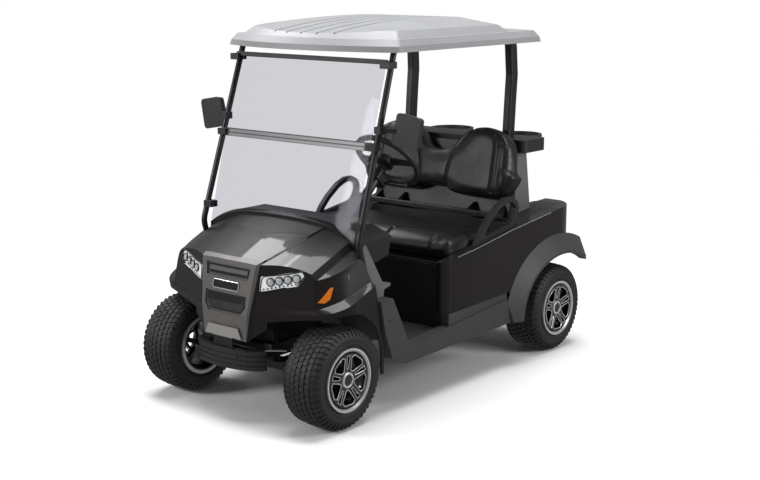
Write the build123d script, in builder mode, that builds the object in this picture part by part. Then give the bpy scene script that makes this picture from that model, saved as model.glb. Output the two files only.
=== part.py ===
from build123d import *
from math import atan2, cos, radians, sin, sqrt
import os

# A two-seat golf cart with a roof, a split windshield and alloy wheels.
# Millimetres. The front faces -Y, +X is the cart's left, and Z is up.
# The origin is on the ground, under the middle of the cart's length.
# Lengthwise places are stations: the distance behind the front axle.

os.makedirs("parts", exist_ok=True)

# Overall sizes
OVERALL_LENGTH = 2230
FRONT_OVERHANG = 240
WHEELBASE = 1664
FRONT_TRACK = 912
REAR_TRACK = 944

# Wheels and tyres
TYRE_RADIUS = 230
TYRE_WIDTH = 206
SHOULDER_DROP = 7
BEAD_RADIUS = 127
RIM_RADIUS = 143
RIM_WALL = 5
RIM_WELL_RADIUS = 110
RIM_FACE_DEPTH = 30
SPOKE_COUNT = 5
SPOKE_THICKNESS = 16
HUB_RADIUS = 36
HUB_CAP_RADIUS = 25
SPINDLE_RADIUS = 12

# Clearances
RUNNING_GAP = 0.1
PIECE_GAP = 0.3
MOVING_GAP = 6

# Steering
KINGPIN_OFFSET = 121
KINGPIN_X = FRONT_TRACK / 2 - KINGPIN_OFFSET
KINGPIN_RADIUS = 11
STEER_ARM_BACK = 110
STEER_ARM_Z = 196
TIE_ROD_RADIUS = 9
WHEEL_RIM_RADIUS = 158
WHEEL_RIM_THICKNESS = 28
COLUMN_X = 245
COLUMN_RADIUS = 22

# Chassis and floor
RAIL_X = 190
RAIL_WIDTH = 50
RAIL_HEIGHT = 60
FLOOR_Z = 297
FLOOR_THICKNESS = 10
FRONT_RAIL_RISE = 70
REAR_RAIL_RISE = 100
FLOOR_HALF_WIDTH = 505
TOE_BOARD_FOOT = 425

# Front body
BODY_WALL = 6
HOOD_REAR = 165
HOOD_REAR_Z = 861
HOOD_SLOPE = 0.4125
CREASE_Z = 560
LEDGE_Z = 577
SHOULDER_Z = 670
RIDGE_STEP = 6
CREASE_SLOPE = 0.33
FRONT_ARCH_Z = 520
NOSE_BOTTOM_Z = 372
GRILLE_DEPTH = 16
LAMP_DEPTH = 34

# Rockers and rear body
ROCKER_INNER_X = 505
ROCKER_OUTER_X = 560
PANEL_X = 556
PANEL_FRONT = 702
PANEL_BOTTOM_Z = 372
REAR_BODY_END = 1886
FLARE_OUTER_X = 600
BAG_WELL_HALF_WIDTH = 335
BAG_WELL_FRONT = 1640
BAG_WELL_FLOOR_Z = 430
DECK_THICKNESS = 6

# Seat
SEAT_BASE_FRONT = 740
SEAT_BASE_REAR = 1300
SEAT_BASE_TOP = 604
SEAT_PAN_THICKNESS = 10
SEAT_HALF_WIDTH = 484
SEAT_FRONT = 800
SEAT_REAR = SEAT_BASE_REAR - 38
CUSHION_HEIGHT = 104
SEAT_BACK_FOOT = 1302
SEAT_BACK_FOOT_Z = 846
SEAT_BACK_LEAN = 15
SEAT_BACK_HEIGHT = 356
SEAT_BACK_THICKNESS = 96
HINGE_PIN_RADIUS = 6

# Roof and struts
ROOF_RIM_Z = 1627
ROOF_TOP_Z = 1754
ROOF_LEDGE_Z = 1682
ROOF_FRONT = 244
ROOF_REAR = 1531
ROOF_REAR_BOW = 94
ROOF_HALF_WIDTH = 531
ROOF_WALL = 8
FRONT_STRUT_RADIUS = 14
REAR_STRUT_WIDTH = 60
REAR_STRUT_DEPTH = 44

# Bag rack
RACK_BOTTOM_Z = 1056
RACK_TOP_Z = 1120

# Windshield
GLASS_THICKNESS = 5
GLASS_SLOPE = 0.2735
GLASS_FOOT = 178
GLASS_FOOT_Z = 882
GLASS_MID_Z = 1217
GLASS_TOP_Z = 1590

# Mirrors
MIRROR_INNER_X = 521
MIRROR_OUTER_X = 690
MIRROR_BOTTOM_Z = 1206
MIRROR_TOP_Z = 1374
MIRROR_STATION = 343
MIRROR_DEPTH = 34

FRONT_AXLE_Y = FRONT_OVERHANG - OVERALL_LENGTH / 2
REAR_AXLE_Y = FRONT_AXLE_Y + WHEELBASE
REAR_END = OVERALL_LENGTH - FRONT_OVERHANG
RAIL_TOP = FLOOR_Z - FLOOR_THICKNESS
LEFT_RIGHT = (1, -1)


def sta(distance):
    """Y of a station, a distance behind the front axle."""
    return FRONT_AXLE_Y + distance


def side_plane(x):
    """A plane across the cart at x: its own x is Y, its own y is Z."""
    return Plane(origin=(x, 0, 0), x_dir=(0, 1, 0), z_dir=(1, 0, 0))


def front_plane(y):
    """An upright plane at y: its own x is X, its own y is Z, facing forward."""
    return Plane(origin=(0, y, 0), x_dir=(1, 0, 0), z_dir=(0, -1, 0))


def stations(points):
    """Side view points given as station and height, as Y and Z."""
    return [(sta(distance), height) for distance, height in points]


def save(piece, name):
    """Label a finished piece and write its file."""
    piece.part.label = name
    export_step(piece.part, f"parts/{name}.step")


# Tyres. One revolved ring each, out to the tread's face.

def make_tyre(x, y):
    half = TYRE_WIDTH / 2
    bead_half = half - 9
    tread_half = half - 19
    hub_line = Plane(origin=(x, y, TYRE_RADIUS), x_dir=(1, 0, 0), z_dir=(0, 0, 1))
    shoulder = TYRE_RADIUS - SHOULDER_DROP
    bead = BEAD_RADIUS + PIECE_GAP
    lip = RIM_RADIUS + 5
    with BuildPart() as tyre:
        with BuildSketch(hub_line):
            with BuildLine():
                Line((-bead_half, bead), (bead_half, bead))
                Line((bead_half, bead), (bead_half, lip))
                ThreePointArc((bead_half, lip), (half, lip + 36), (half - 8, shoulder - 14))
                Line((half - 8, shoulder - 14), (tread_half, shoulder))
                ThreePointArc((tread_half, shoulder), (0, TYRE_RADIUS), (-tread_half, shoulder))
                Line((-tread_half, shoulder), (8 - half, shoulder - 14))
                ThreePointArc((8 - half, shoulder - 14), (-half, lip + 36), (-bead_half, lip))
                Line((-bead_half, lip), (-bead_half, bead))
            make_face()
        revolve(axis=Axis((x, y, TYRE_RADIUS), (1, 0, 0)))
    return tyre


# Rims. A revolved barrel with both lips, and a dished face of paired spokes.
# The outward side of the wheel is +1 on the left and -1 on the right.

def make_rim(x, y, out):
    half = TYRE_WIDTH / 2
    bead_half = half - 9 + PIECE_GAP
    face = half - RIM_FACE_DEPTH
    bore_end = face - 12
    hub_line = Plane(origin=(x, y, TYRE_RADIUS), x_dir=(out, 0, 0), z_dir=(0, 0, out))
    spoke_plane = Plane(origin=(x + out * (face + SPOKE_THICKNESS), y, TYRE_RADIUS),
                        x_dir=(0, out, 0), z_dir=(out, 0, 0))
    pitch = 360 / SPOKE_COUNT
    with BuildPart() as rim:
        with BuildSketch(hub_line):
            with BuildLine():
                Polyline(
                    (-half, RIM_RADIUS), (-bead_half, RIM_RADIUS), (-bead_half, BEAD_RADIUS),
                    (-bead_half + 22, BEAD_RADIUS), (-bead_half + 34, RIM_WELL_RADIUS),
                    (bead_half - 46, RIM_WELL_RADIUS), (bead_half - 34, BEAD_RADIUS),
                    (bead_half, BEAD_RADIUS), (bead_half, RIM_RADIUS), (half + 1, RIM_RADIUS),
                    (half + 1, RIM_RADIUS - 9), (half - 10, BEAD_RADIUS - RIM_WALL),
                    (bead_half - 30, BEAD_RADIUS - RIM_WALL),
                    (bead_half - 44, RIM_WELL_RADIUS - RIM_WALL),
                    (-bead_half + 32, RIM_WELL_RADIUS - RIM_WALL),
                    (-bead_half + 20, BEAD_RADIUS - RIM_WALL),
                    (-half, BEAD_RADIUS - RIM_WALL), close=True)
            make_face()
        revolve(axis=Axis((x, y, TYRE_RADIUS), (1, 0, 0)))
        with BuildSketch(hub_line):
            with BuildLine():
                Polyline(
                    (face - 30, 0), (face - 30, HUB_RADIUS), (face, HUB_RADIUS),
                    (face + 12, BEAD_RADIUS - RIM_WALL + 1),
                    (face + 12 + SPOKE_THICKNESS, BEAD_RADIUS - RIM_WALL + 1),
                    (face + SPOKE_THICKNESS, HUB_RADIUS),
                    (face + SPOKE_THICKNESS, HUB_CAP_RADIUS),
                    (face + SPOKE_THICKNESS + 6, HUB_CAP_RADIUS - 4),
                    (face + SPOKE_THICKNESS + 6, 0), close=True)
            make_face()
        revolve(axis=Axis((x, y, TYRE_RADIUS), (1, 0, 0)))
        with BuildSketch(spoke_plane):
            with PolarLocations(0, SPOKE_COUNT, start_angle=90 + pitch / 2):
                Polygon((46, 7), (96, 42), (112, 28), (112, -28), (96, -42), (46, -7),
                        align=None)
            with PolarLocations(0, SPOKE_COUNT, start_angle=90):
                Polygon((52, 5), (112, 11), (112, -11), (52, -5), align=None)
        extrude(amount=RIM_FACE_DEPTH, both=True, mode=Mode.SUBTRACT)
        with BuildSketch(Plane(origin=(x - out * half, y, TYRE_RADIUS),
                               x_dir=(0, out, 0), z_dir=(out, 0, 0))):
            Circle(SPINDLE_RADIUS + RUNNING_GAP)
        extrude(amount=half + bore_end, mode=Mode.SUBTRACT)
    return rim


WHEELS = (("front_left", FRONT_TRACK / 2, FRONT_AXLE_Y, 1),
          ("front_right", -FRONT_TRACK / 2, FRONT_AXLE_Y, -1),
          ("rear_left", REAR_TRACK / 2, REAR_AXLE_Y, 1),
          ("rear_right", -REAR_TRACK / 2, REAR_AXLE_Y, -1))
for wheel_name, wheel_x, wheel_y, wheel_out in WHEELS:
    tyre = make_tyre(wheel_x, wheel_y)
    save(tyre, f"tyre_{wheel_name}")
    rim = make_rim(wheel_x, wheel_y, wheel_out)
    save(rim, f"rim_{wheel_name}")

# Struts. Their paths come first, because the body makes room for them.

STRUT_FOOT_X = ROCKER_INNER_X - FRONT_STRUT_RADIUS - PIECE_GAP
STRUT_ROOF = (469, 426, ROOF_LEDGE_Z - ROOF_WALL - 5)
STRUT_BEND = (STRUT_FOOT_X, 140, 795)
STRUT_FOOT = (STRUT_FOOT_X, 257, 440)
STRUT_BEND_RADIUS = 90


def strut_form(radius, side):
    """A front strut on one side, as a round bar of this radius."""
    path_points = [(side * x, sta(d), z) for x, d, z in (STRUT_ROOF, STRUT_BEND, STRUT_FOOT)]
    with BuildPart() as bar:
        with BuildLine() as path:
            FilletPolyline(*path_points, radius=STRUT_BEND_RADIUS)
        with BuildSketch(path.line ^ 0):
            Circle(radius)
        sweep(path=path.line)
    return bar.part


# Front body. The outer form is lofted from the fender crease up to the hood and down
# to the nose's foot, and its top is cut by a ridged crown that rises towards the cowl.

BODY_FRONT_REAR = 250
FORM_TOP_Z = 1000


def slope_plane(height):
    """A plane with the fender crease's slope, at this height over the front axle."""
    tilt = atan2(CREASE_SLOPE, 1)
    return Plane(origin=(0, FRONT_AXLE_Y, height), x_dir=(1, 0, 0),
                 z_dir=(0, -sin(tilt), cos(tilt)))


def half_outline(front, nose, cheek, lamp, corner_mid, corner_end, rear):
    """A closed plan outline from seven half points, mirrored across the middle."""
    with BuildLine() as outline:
        for s in LEFT_RIGHT:
            Line((0, front), (s * nose[0], nose[1]))
            Line((s * nose[0], nose[1]), (s * cheek[0], cheek[1]))
            Line((s * cheek[0], cheek[1]), (s * lamp[0], lamp[1]))
            ThreePointArc((s * lamp[0], lamp[1]), (s * corner_mid[0], corner_mid[1]),
                          (s * corner_end[0], corner_end[1]))
            Line((s * corner_end[0], corner_end[1]), (s * rear[0], rear[1]))
        Line((-rear[0], rear[1]), (rear[0], rear[1]))
    return outline.line.edges()


def crown_profile(drop, shelf=False):
    """The hood's top in front view, down to the ground, lowered by drop. With shelf,
    it steps down on each side to the flat top of a fender."""
    top = HOOD_REAR_Z - drop
    with BuildLine() as profile:
        for s in LEFT_RIGHT:
            ThreePointArc((0, top), (s * 130, top - 2), (s * 252, top - 11))
            if shelf:
                ThreePointArc((s * 252, top - 11), (s * 338, top - 29), (s * 414, top - 57))
                Polyline((s * 414, top - 57), (s * 438, top - 86), (s * 508, top - 106),
                         (s * 640, top - 240))
            else:
                ThreePointArc((s * 252, top - 11), (s * 390, top - 46), (s * 520, top - 122))
                Line((s * 520, top - 122), (s * 640, top - 240))
            Line((s * 640, top - 240), (s * 640, -700))
        Line((-640, -700), (640, -700))
    return profile.line.edges()


def crown_form(inset):
    """Everything under the hood's top, whose middle stands a step above its sides."""
    start = inset + (HOOD_REAR + 400) * HOOD_SLOPE
    with BuildPart() as crown:
        with BuildSketch(front_plane(sta(-400))):
            make_face(crown_profile(start, True))
        extrude(amount=1100, dir=(0, 1, HOOD_SLOPE))
        with BuildSketch(Plane.XY.offset(100)):
            Polygon((inset - 99, sta(-420)), (99 - inset, sta(-420)),
                    (405 - inset, sta(640)), (inset - 405, sta(640)), align=None)
        extrude(amount=1000, mode=Mode.INTERSECT)
        with BuildSketch(front_plane(sta(-400))):
            make_face(crown_profile(start + RIDGE_STEP, True))
        extrude(amount=1100, dir=(0, 1, HOOD_SLOPE))
    return crown.part


def form_section(plane, inset, points):
    """One section of the front body's form, set in by its wall if asked."""
    front, nose, cheek, lamp, corner_mid, corner_end, rear = points
    with BuildSketch(plane) as section:
        make_face(half_outline(
            front + inset,
            (nose[0] - inset / 4, nose[1] + inset),
            (cheek[0] - inset / 4, cheek[1] + inset),
            (lamp[0] - inset / 4, lamp[1] + inset),
            (corner_mid[0] - inset * 3 / 4, corner_mid[1] + inset * 3 / 4),
            (corner_end[0] - inset, corner_end[1] + inset / 4),
            (rear[0] - inset, rear[1])))
    return section.sketch


def hood_form(inset):
    """The front body's outer form, or the same form set in all round and open behind."""
    stretch = sqrt(1 + CREASE_SLOPE ** 2)
    rear = BODY_FRONT_REAR + 8 * inset
    crease = form_section(slope_plane(CREASE_Z - inset), inset, (
        -212 * stretch, (140, -207 * stretch), (166, -184 * stretch), (470, -98 * stretch),
        (543, -36 * stretch), (561, 65 * stretch), (548, rear * stretch)))
    ledge = form_section(slope_plane(LEDGE_Z - inset), inset, (
        -209 * stretch, (142, -204 * stretch), (168, -182 * stretch), (448, -97 * stretch),
        (490, -42 * stretch), (522, 62 * stretch), (541, rear * stretch)))
    shoulder = form_section(slope_plane(SHOULDER_Z - inset), inset, (
        -193 * stretch, (154, -188 * stretch), (177, -167 * stretch), (434, -86 * stretch),
        (466, -32 * stretch), (496, 68 * stretch), (520, rear * stretch)))
    above = form_section(Plane.XY.offset(FORM_TOP_Z), inset, (
        sta(-128), (200, sta(-124)), (212, sta(-112)), (370, sta(-24)),
        (422, sta(20)), (440, sta(110)), (436, sta(rear))))
    below = form_section(Plane.XY.offset(200 - inset), inset, (
        sta(-208), (118, sta(-204)), (142, sta(-182)), (420, sta(-78)),
        (505, sta(-20)), (535, sta(70)), (545, sta(rear))))
    with BuildPart() as form:
        loft([shoulder, above], ruled=True)
        loft([ledge, shoulder], ruled=True)
        loft([crease, ledge], ruled=True)
        loft([below, crease], ruled=True)
        add(crown_form(inset), mode=Mode.INTERSECT)
    return form.part


outer_form = hood_form(0)
inner_form = hood_form(BODY_WALL)


def lamp_outline(side):
    """A headlamp's outline in front view."""
    with BuildSketch(front_plane(sta(-300))) as outline:
        Polygon((side * 186, 668), (side * 371, 706), (side * 388, 686),
                (side * 361, 642), (side * 182, 600), align=None)
        fillet(outline.vertices(), radius=5)
    return outline.sketch_local


def marker_outline(side):
    """A side marker lamp's outline in side view."""
    with BuildSketch(side_plane(0)) as outline:
        Polygon(*stations([(-84, 578), (-30, 636), (-14, 640), (-38, 590), (-62, 574)]),
                align=None)
    return outline.sketch_local


def nose_outline(shrink):
    """The nose panel's outline in front view, set in by shrink."""
    with BuildSketch(front_plane(sta(-300))) as outline:
        Polygon((182 - shrink, 790), (182 - shrink, 726), (133 - shrink, NOSE_BOTTOM_Z + shrink),
                (shrink - 133, NOSE_BOTTOM_Z + shrink), (shrink - 182, 726), (shrink - 182, 790),
                align=None)
    return outline.sketch


def nose_cutter(shrink):
    """The space in front of the nose's top edge, as deep as the grille panel reaches."""
    with BuildPart() as cutter:
        extrude(nose_outline(shrink), amount=-(300 - 90))
        with BuildSketch(side_plane(0)):
            Polygon(*stations([(-320, 300), (-320, 733 - shrink), (-140, 733 - shrink),
                               (-100, 300)]), align=None)
        extrude(amount=400, both=True, mode=Mode.INTERSECT)
    return cutter.part


def lamp_cutter(side, gap):
    """The space that a headlamp and its surround take up."""
    with BuildPart() as cutter:
        with BuildSketch(front_plane(sta(-300))):
            add(lamp_outline(side))
            if gap:
                offset(amount=gap, mode=Mode.REPLACE)
        extrude(amount=-260)
    return cutter.part


def marker_cutter(side, gap):
    """The space that a side marker takes up."""
    with BuildPart() as cutter:
        with BuildSketch(side_plane(0)):
            add(marker_outline(side))
            if gap:
                offset(amount=gap, mode=Mode.REPLACE)
        extrude(amount=side * 640)
    return cutter.part


SPLASH_X = 219
with BuildPart() as splash_panels:
    for s in LEFT_RIGHT:
        with BuildSketch(side_plane(s * SPLASH_X)):
            Polygon(*stations([(-175, 452), (-120, 374), (168, 374), (212, 424), (210, 520),
                               (196, 585), (-175, 585)]), align=None)
        extrude(amount=s * BODY_WALL)
    add(outer_form, mode=Mode.INTERSECT)

with BuildPart() as front_body:
    add(outer_form)
    add(inner_form, mode=Mode.SUBTRACT)
    add(nose_cutter(-PIECE_GAP), mode=Mode.SUBTRACT)
    for s in LEFT_RIGHT:
        add(lamp_cutter(s, PIECE_GAP), mode=Mode.SUBTRACT)
        add(marker_cutter(s, PIECE_GAP), mode=Mode.SUBTRACT)
    # The wheel openings, open to the front below the crease.
    with BuildSketch(side_plane(225)):
        with BuildLine():
            Polyline(*stations([(235, 150), (-330, 150), (-330, 452), (-160, 470)]))
            Spline(*stations([(-160, 470), (24, FRONT_ARCH_Z), (150, 476), (214, 380), (235, 290)]))
            Line(*stations([(235, 290), (235, 150)]))
        make_face()
    extrude(amount=500, mode=Mode.SUBTRACT)
    with BuildSketch(side_plane(-225)):
        with BuildLine():
            Polyline(*stations([(235, 150), (-330, 150), (-330, 452), (-160, 470)]))
            Spline(*stations([(-160, 470), (24, FRONT_ARCH_Z), (150, 476), (214, 380), (235, 290)]))
            Line(*stations([(235, 290), (235, 150)]))
        make_face()
    extrude(amount=-500, mode=Mode.SUBTRACT)
    # The panels that close the wheel openings off from the space under the hood.
    add(splash_panels.part)
    # The foot of the nose, and its edge rising to the wheel openings.
    with BuildSketch(front_plane(sta(-300))):
        Polygon((-700, 100), (-700, 470), (-235, 445), (-134, NOSE_BOTTOM_Z),
                (134, NOSE_BOTTOM_Z), (235, 445), (700, 470), (700, 100), align=None)
    extrude(amount=-170, mode=Mode.SUBTRACT)
    # The rear edge, from the cowl down along the strut to the rocker.
    with BuildSketch(side_plane(0)):
        Polygon(*stations([(400, 100), (316, 232), (282, 258), (240, 380), (212, 520),
                           (160, 716), (HOOD_REAR, 790), (HOOD_REAR, 1000), (400, 1000)]),
                align=None)
    extrude(amount=700, both=True, mode=Mode.SUBTRACT)
    for s in LEFT_RIGHT:
        add(strut_form(FRONT_STRUT_RADIUS + 3, s), mode=Mode.SUBTRACT)
save(front_body, "front_body")

RECESS_DEPTH = 9
with BuildPart() as grille_recesses:
    with BuildSketch(front_plane(sta(-300))):
        Polygon((-138, 700), (138, 700), (130, 642), (-130, 642), align=None)
        Polygon((-128, 576), (128, 576), (126, 516), (100, 484), (-100, 484), (-126, 516),
                align=None)
    extrude(amount=-290)
    add(hood_form(RECESS_DEPTH), mode=Mode.SUBTRACT)

with BuildPart() as grille:
    add(outer_form)
    add(nose_cutter(0), mode=Mode.INTERSECT)
    add(hood_form(GRILLE_DEPTH), mode=Mode.SUBTRACT)
    add(grille_recesses.part, mode=Mode.SUBTRACT)
save(grille, "grille")

with BuildPart() as headlamps:
    for s in LEFT_RIGHT:
        with BuildPart(mode=Mode.PRIVATE) as lamp:
            add(outer_form)
            add(lamp_cutter(s, 0), mode=Mode.INTERSECT)
            add(hood_form(LAMP_DEPTH), mode=Mode.SUBTRACT)
        add(lamp.part)
save(headlamps, "headlamps")

with BuildPart() as side_markers:
    for s in LEFT_RIGHT:
        with BuildPart(mode=Mode.PRIVATE) as marker:
            add(outer_form)
            add(marker_cutter(s, 0), mode=Mode.INTERSECT)
            add(hood_form(BODY_WALL + 4), mode=Mode.SUBTRACT)
        add(marker.part)
save(side_markers, "side_markers")


# Chassis frame. Two cranked rails joined by cross members.

RAIL_FRONT = -126
RAIL_REAR = REAR_END - 62
FRONT_TOP = RAIL_TOP + FRONT_RAIL_RISE
REAR_TOP = RAIL_TOP + REAR_RAIL_RISE
CROSS_MEMBERS = ((RAIL_FRONT + 30, FRONT_TOP), (470, RAIL_TOP), (1130, RAIL_TOP),
                 (1420, REAR_TOP), (RAIL_REAR - 30, REAR_TOP))
with BuildPart() as chassis_frame:
    for s in LEFT_RIGHT:
        with BuildSketch(side_plane(s * RAIL_X - RAIL_WIDTH / 2)):
            Polygon(*stations([
                (RAIL_FRONT, FRONT_TOP), (315, FRONT_TOP), (412, RAIL_TOP), (1170, RAIL_TOP),
                (1370, REAR_TOP), (RAIL_REAR, REAR_TOP), (RAIL_REAR, REAR_TOP - RAIL_HEIGHT),
                (1384, REAR_TOP - RAIL_HEIGHT), (1184, RAIL_TOP - RAIL_HEIGHT),
                (398, RAIL_TOP - RAIL_HEIGHT), (301, FRONT_TOP - RAIL_HEIGHT),
                (RAIL_FRONT, FRONT_TOP - RAIL_HEIGHT)]), align=None)
        extrude(amount=RAIL_WIDTH)
    for member_station, member_top in CROSS_MEMBERS:
        with BuildSketch(side_plane(-RAIL_X)):
            with Locations((sta(member_station), member_top - 25)):
                RectangleRounded(50, 40, 8)
        extrude(amount=2 * RAIL_X)
save(chassis_frame, "chassis_frame")


# Floor pan, with the toe board that closes the front body off from the footwell.

TOE_TOP = (262, 512)
TOE_HALF_WIDTH = 466
with BuildPart() as floor_pan:
    with BuildSketch(side_plane(0)):
        Polygon(*stations([
            (1165, FLOOR_Z), (TOE_BOARD_FOOT, FLOOR_Z), TOE_TOP, (243, 690), (233, 690),
            (TOE_TOP[0] - 11, TOE_TOP[1] - 4), (TOE_BOARD_FOOT - 8, FLOOR_Z - FLOOR_THICKNESS),
            (1165, FLOOR_Z - FLOOR_THICKNESS)]), align=None)
    extrude(amount=ROCKER_INNER_X - PIECE_GAP, both=True)
    with BuildSketch(Plane.XY.offset(FLOOR_Z)):
        with Locations(*[(s * (TOE_HALF_WIDTH + 100), sta(330)) for s in LEFT_RIGHT]):
            Rectangle(200, 400)
    extrude(amount=500, mode=Mode.SUBTRACT)
    with BuildSketch(Plane.XY.offset(FLOOR_Z - FLOOR_THICKNESS)):
        with Locations(*[(s * (TOE_HALF_WIDTH + 100), sta(210)) for s in LEFT_RIGHT]):
            Rectangle(200, 400)
    extrude(amount=500, mode=Mode.SUBTRACT)
save(floor_pan, "floor_pan")


# Rockers. Each is a sill with a leg that rises in front of the door opening.

with BuildPart() as rockers:
    for s in LEFT_RIGHT:
        with BuildSketch(side_plane(s * ROCKER_INNER_X)) as sill:
            Polygon(*stations([
                (214, 542), (300, 542), (350, 443), (424, 293), (1209, 361), (1244, 235),
                (392, 216), (340, 230), (298, 260), (244, 397)]), align=None)
            fillet(sill.vertices().group_by(Axis.X)[3:5][0], radius=5)
        extrude(amount=s * (ROCKER_OUTER_X - ROCKER_INNER_X))
        with BuildSketch(side_plane(s * ROCKER_INNER_X)):
            Polygon(*stations([
                (SEAT_BASE_FRONT - 12, 312), (1220, 352), (1209, 394),
                (SEAT_BASE_FRONT - 12, 378)]), align=None)
        extrude(amount=s * (ROCKER_OUTER_X - ROCKER_INNER_X - 8))
save(rockers, "rockers")


# Front struts

with BuildPart() as front_struts:
    for s in LEFT_RIGHT:
        add(strut_form(FRONT_STRUT_RADIUS, s))
save(front_struts, "front_struts")


# Rear body. A shell round both sides and the back, with a rim along its top.

TOP_LINE = ((600, 615), (PANEL_FRONT, 630), (907, 660), (1222, 707), (1692, 758), (2000, 766))
FLANGE_INNER_X = 496
ARCH_LENGTH = 358
ARCH_HEIGHT = 294


def rear_form(inset):
    """The rear body's outer form, or the same set in all round, under its top line."""
    with BuildPart() as form:
        with BuildSketch(Plane.XY.offset(200)):
            with BuildLine():
                for s in LEFT_RIGHT:
                    front_x = s * (PANEL_X - 10 - inset)
                    side_x = s * (PANEL_X - inset)
                    Line((0, sta(PANEL_FRONT + inset)), (s * 500, sta(PANEL_FRONT + inset)))
                    ThreePointArc((s * 500, sta(PANEL_FRONT + inset)),
                                  (s * (535 - inset), sta(PANEL_FRONT + 13 + inset)),
                                  (front_x, sta(PANEL_FRONT + 48)))
                    Line((front_x, sta(PANEL_FRONT + 48)), (side_x, sta(910)))
                    Line((side_x, sta(910)), (side_x, sta(1700)))
                    ThreePointArc((side_x, sta(1700)),
                                  (s * (PANEL_X - 38 - inset), sta(1812)),
                                  (s * 440, sta(REAR_BODY_END - 12 - inset)))
                    Line((s * 440, sta(REAR_BODY_END - 12 - inset)),
                         (0, sta(REAR_BODY_END - inset)))
            make_face()
        extrude(amount=640)
        with BuildSketch(side_plane(0)):
            Polygon(*stations([(d, z - inset) for d, z in TOP_LINE] + [(2000, 100), (600, 100)]),
                    align=None)
        extrude(amount=700, both=True, mode=Mode.INTERSECT)
    return form.part


def tail_cutter(side, gap):
    """The space that a tail lamp takes up at a rear corner."""
    with BuildPart() as cutter:
        with BuildSketch(side_plane(side * 400)) as outline:
            Polygon(*stations([(1800, 752), (1910, 752), (1910, 604), (1852, 604)]), align=None)
            if gap:
                offset(amount=gap, mode=Mode.REPLACE)
        extrude(amount=side * 200)
    return cutter.part


rear_outer = rear_form(0)
with BuildPart() as rear_body:
    add(rear_outer)
    add(rear_form(BODY_WALL), mode=Mode.SUBTRACT)
    with BuildSketch(Plane.XY.offset(100)):
        with Locations((0, sta(600))):
            Rectangle(2 * FLANGE_INNER_X, 2 * (1790 - 600))
    extrude(amount=800, mode=Mode.SUBTRACT)
    with BuildSketch(front_plane(sta(1780))):
        Polygon((-BAG_WELL_HALF_WIDTH - 30, 900), (BAG_WELL_HALF_WIDTH + 30, 900),
                (BAG_WELL_HALF_WIDTH - 20, 560), (20 - BAG_WELL_HALF_WIDTH, 560), align=None)
    extrude(amount=-200, mode=Mode.SUBTRACT)
    with BuildSketch(side_plane(0)):
        with Locations((REAR_AXLE_Y, TYRE_RADIUS)):
            Ellipse(ARCH_LENGTH + 6, ARCH_HEIGHT + 6)
        Polygon(*stations([(600, 379), (PANEL_FRONT, 379), (1209, 395), (1209, 362), (1300, 100),
                           (600, 100)]), align=None)
        Polygon(*stations([(1209, 395), (1209, 100), (2100, 100), (2100, 380), (1500, 380)]),
                align=None)
    extrude(amount=700, both=True, mode=Mode.SUBTRACT)
    for s in LEFT_RIGHT:
        add(tail_cutter(s, PIECE_GAP), mode=Mode.SUBTRACT)
save(rear_body, "rear_body")

with BuildPart() as tail_lamps:
    for s in LEFT_RIGHT:
        with BuildPart(mode=Mode.PRIVATE) as lamp:
            add(rear_outer)
            add(tail_cutter(s, 0), mode=Mode.INTERSECT)
            add(rear_form(BODY_WALL + 14), mode=Mode.SUBTRACT)
        add(lamp.part)
save(tail_lamps, "tail_lamps")

with BuildPart() as rear_flares:
    for s in LEFT_RIGHT:
        with BuildPart(mode=Mode.PRIVATE) as flare:
            with BuildSketch(side_plane(s * (PANEL_X + PIECE_GAP))):
                with Locations((REAR_AXLE_Y, TYRE_RADIUS)):
                    Ellipse(465, 396)
            with BuildSketch(side_plane(s * FLARE_OUTER_X)):
                with Locations((REAR_AXLE_Y, TYRE_RADIUS)):
                    Ellipse(ARCH_LENGTH + 16, ARCH_HEIGHT + 15)
            loft()
            with BuildSketch(side_plane(s * 500)):
                with Locations((REAR_AXLE_Y, TYRE_RADIUS)):
                    Ellipse(ARCH_LENGTH, ARCH_HEIGHT)
            extrude(amount=s * 140, mode=Mode.SUBTRACT)
            with BuildSketch(side_plane(s * 500)):
                Polygon(*stations([(1209.5, 361), (1244.5, 235), (1500, 235), (1700, 430),
                                   (1890, 430), (1890, 700), (1100, 700)]), align=None)
            extrude(amount=s * 140, mode=Mode.INTERSECT)
        add(flare.part)
save(rear_flares, "rear_flares")


# Bag well. A deck behind the seat, under the rear body's rim, with a bucket in it.

def top_line_z(distance):
    """The height of the rear body's top line at a station."""
    for (d0, z0), (d1, z1) in zip(TOP_LINE, TOP_LINE[1:]):
        if d0 <= distance <= d1:
            return z0 + (z1 - z0) * (distance - d0) / (d1 - d0)
    raise ValueError("station is off the rear body")


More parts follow.
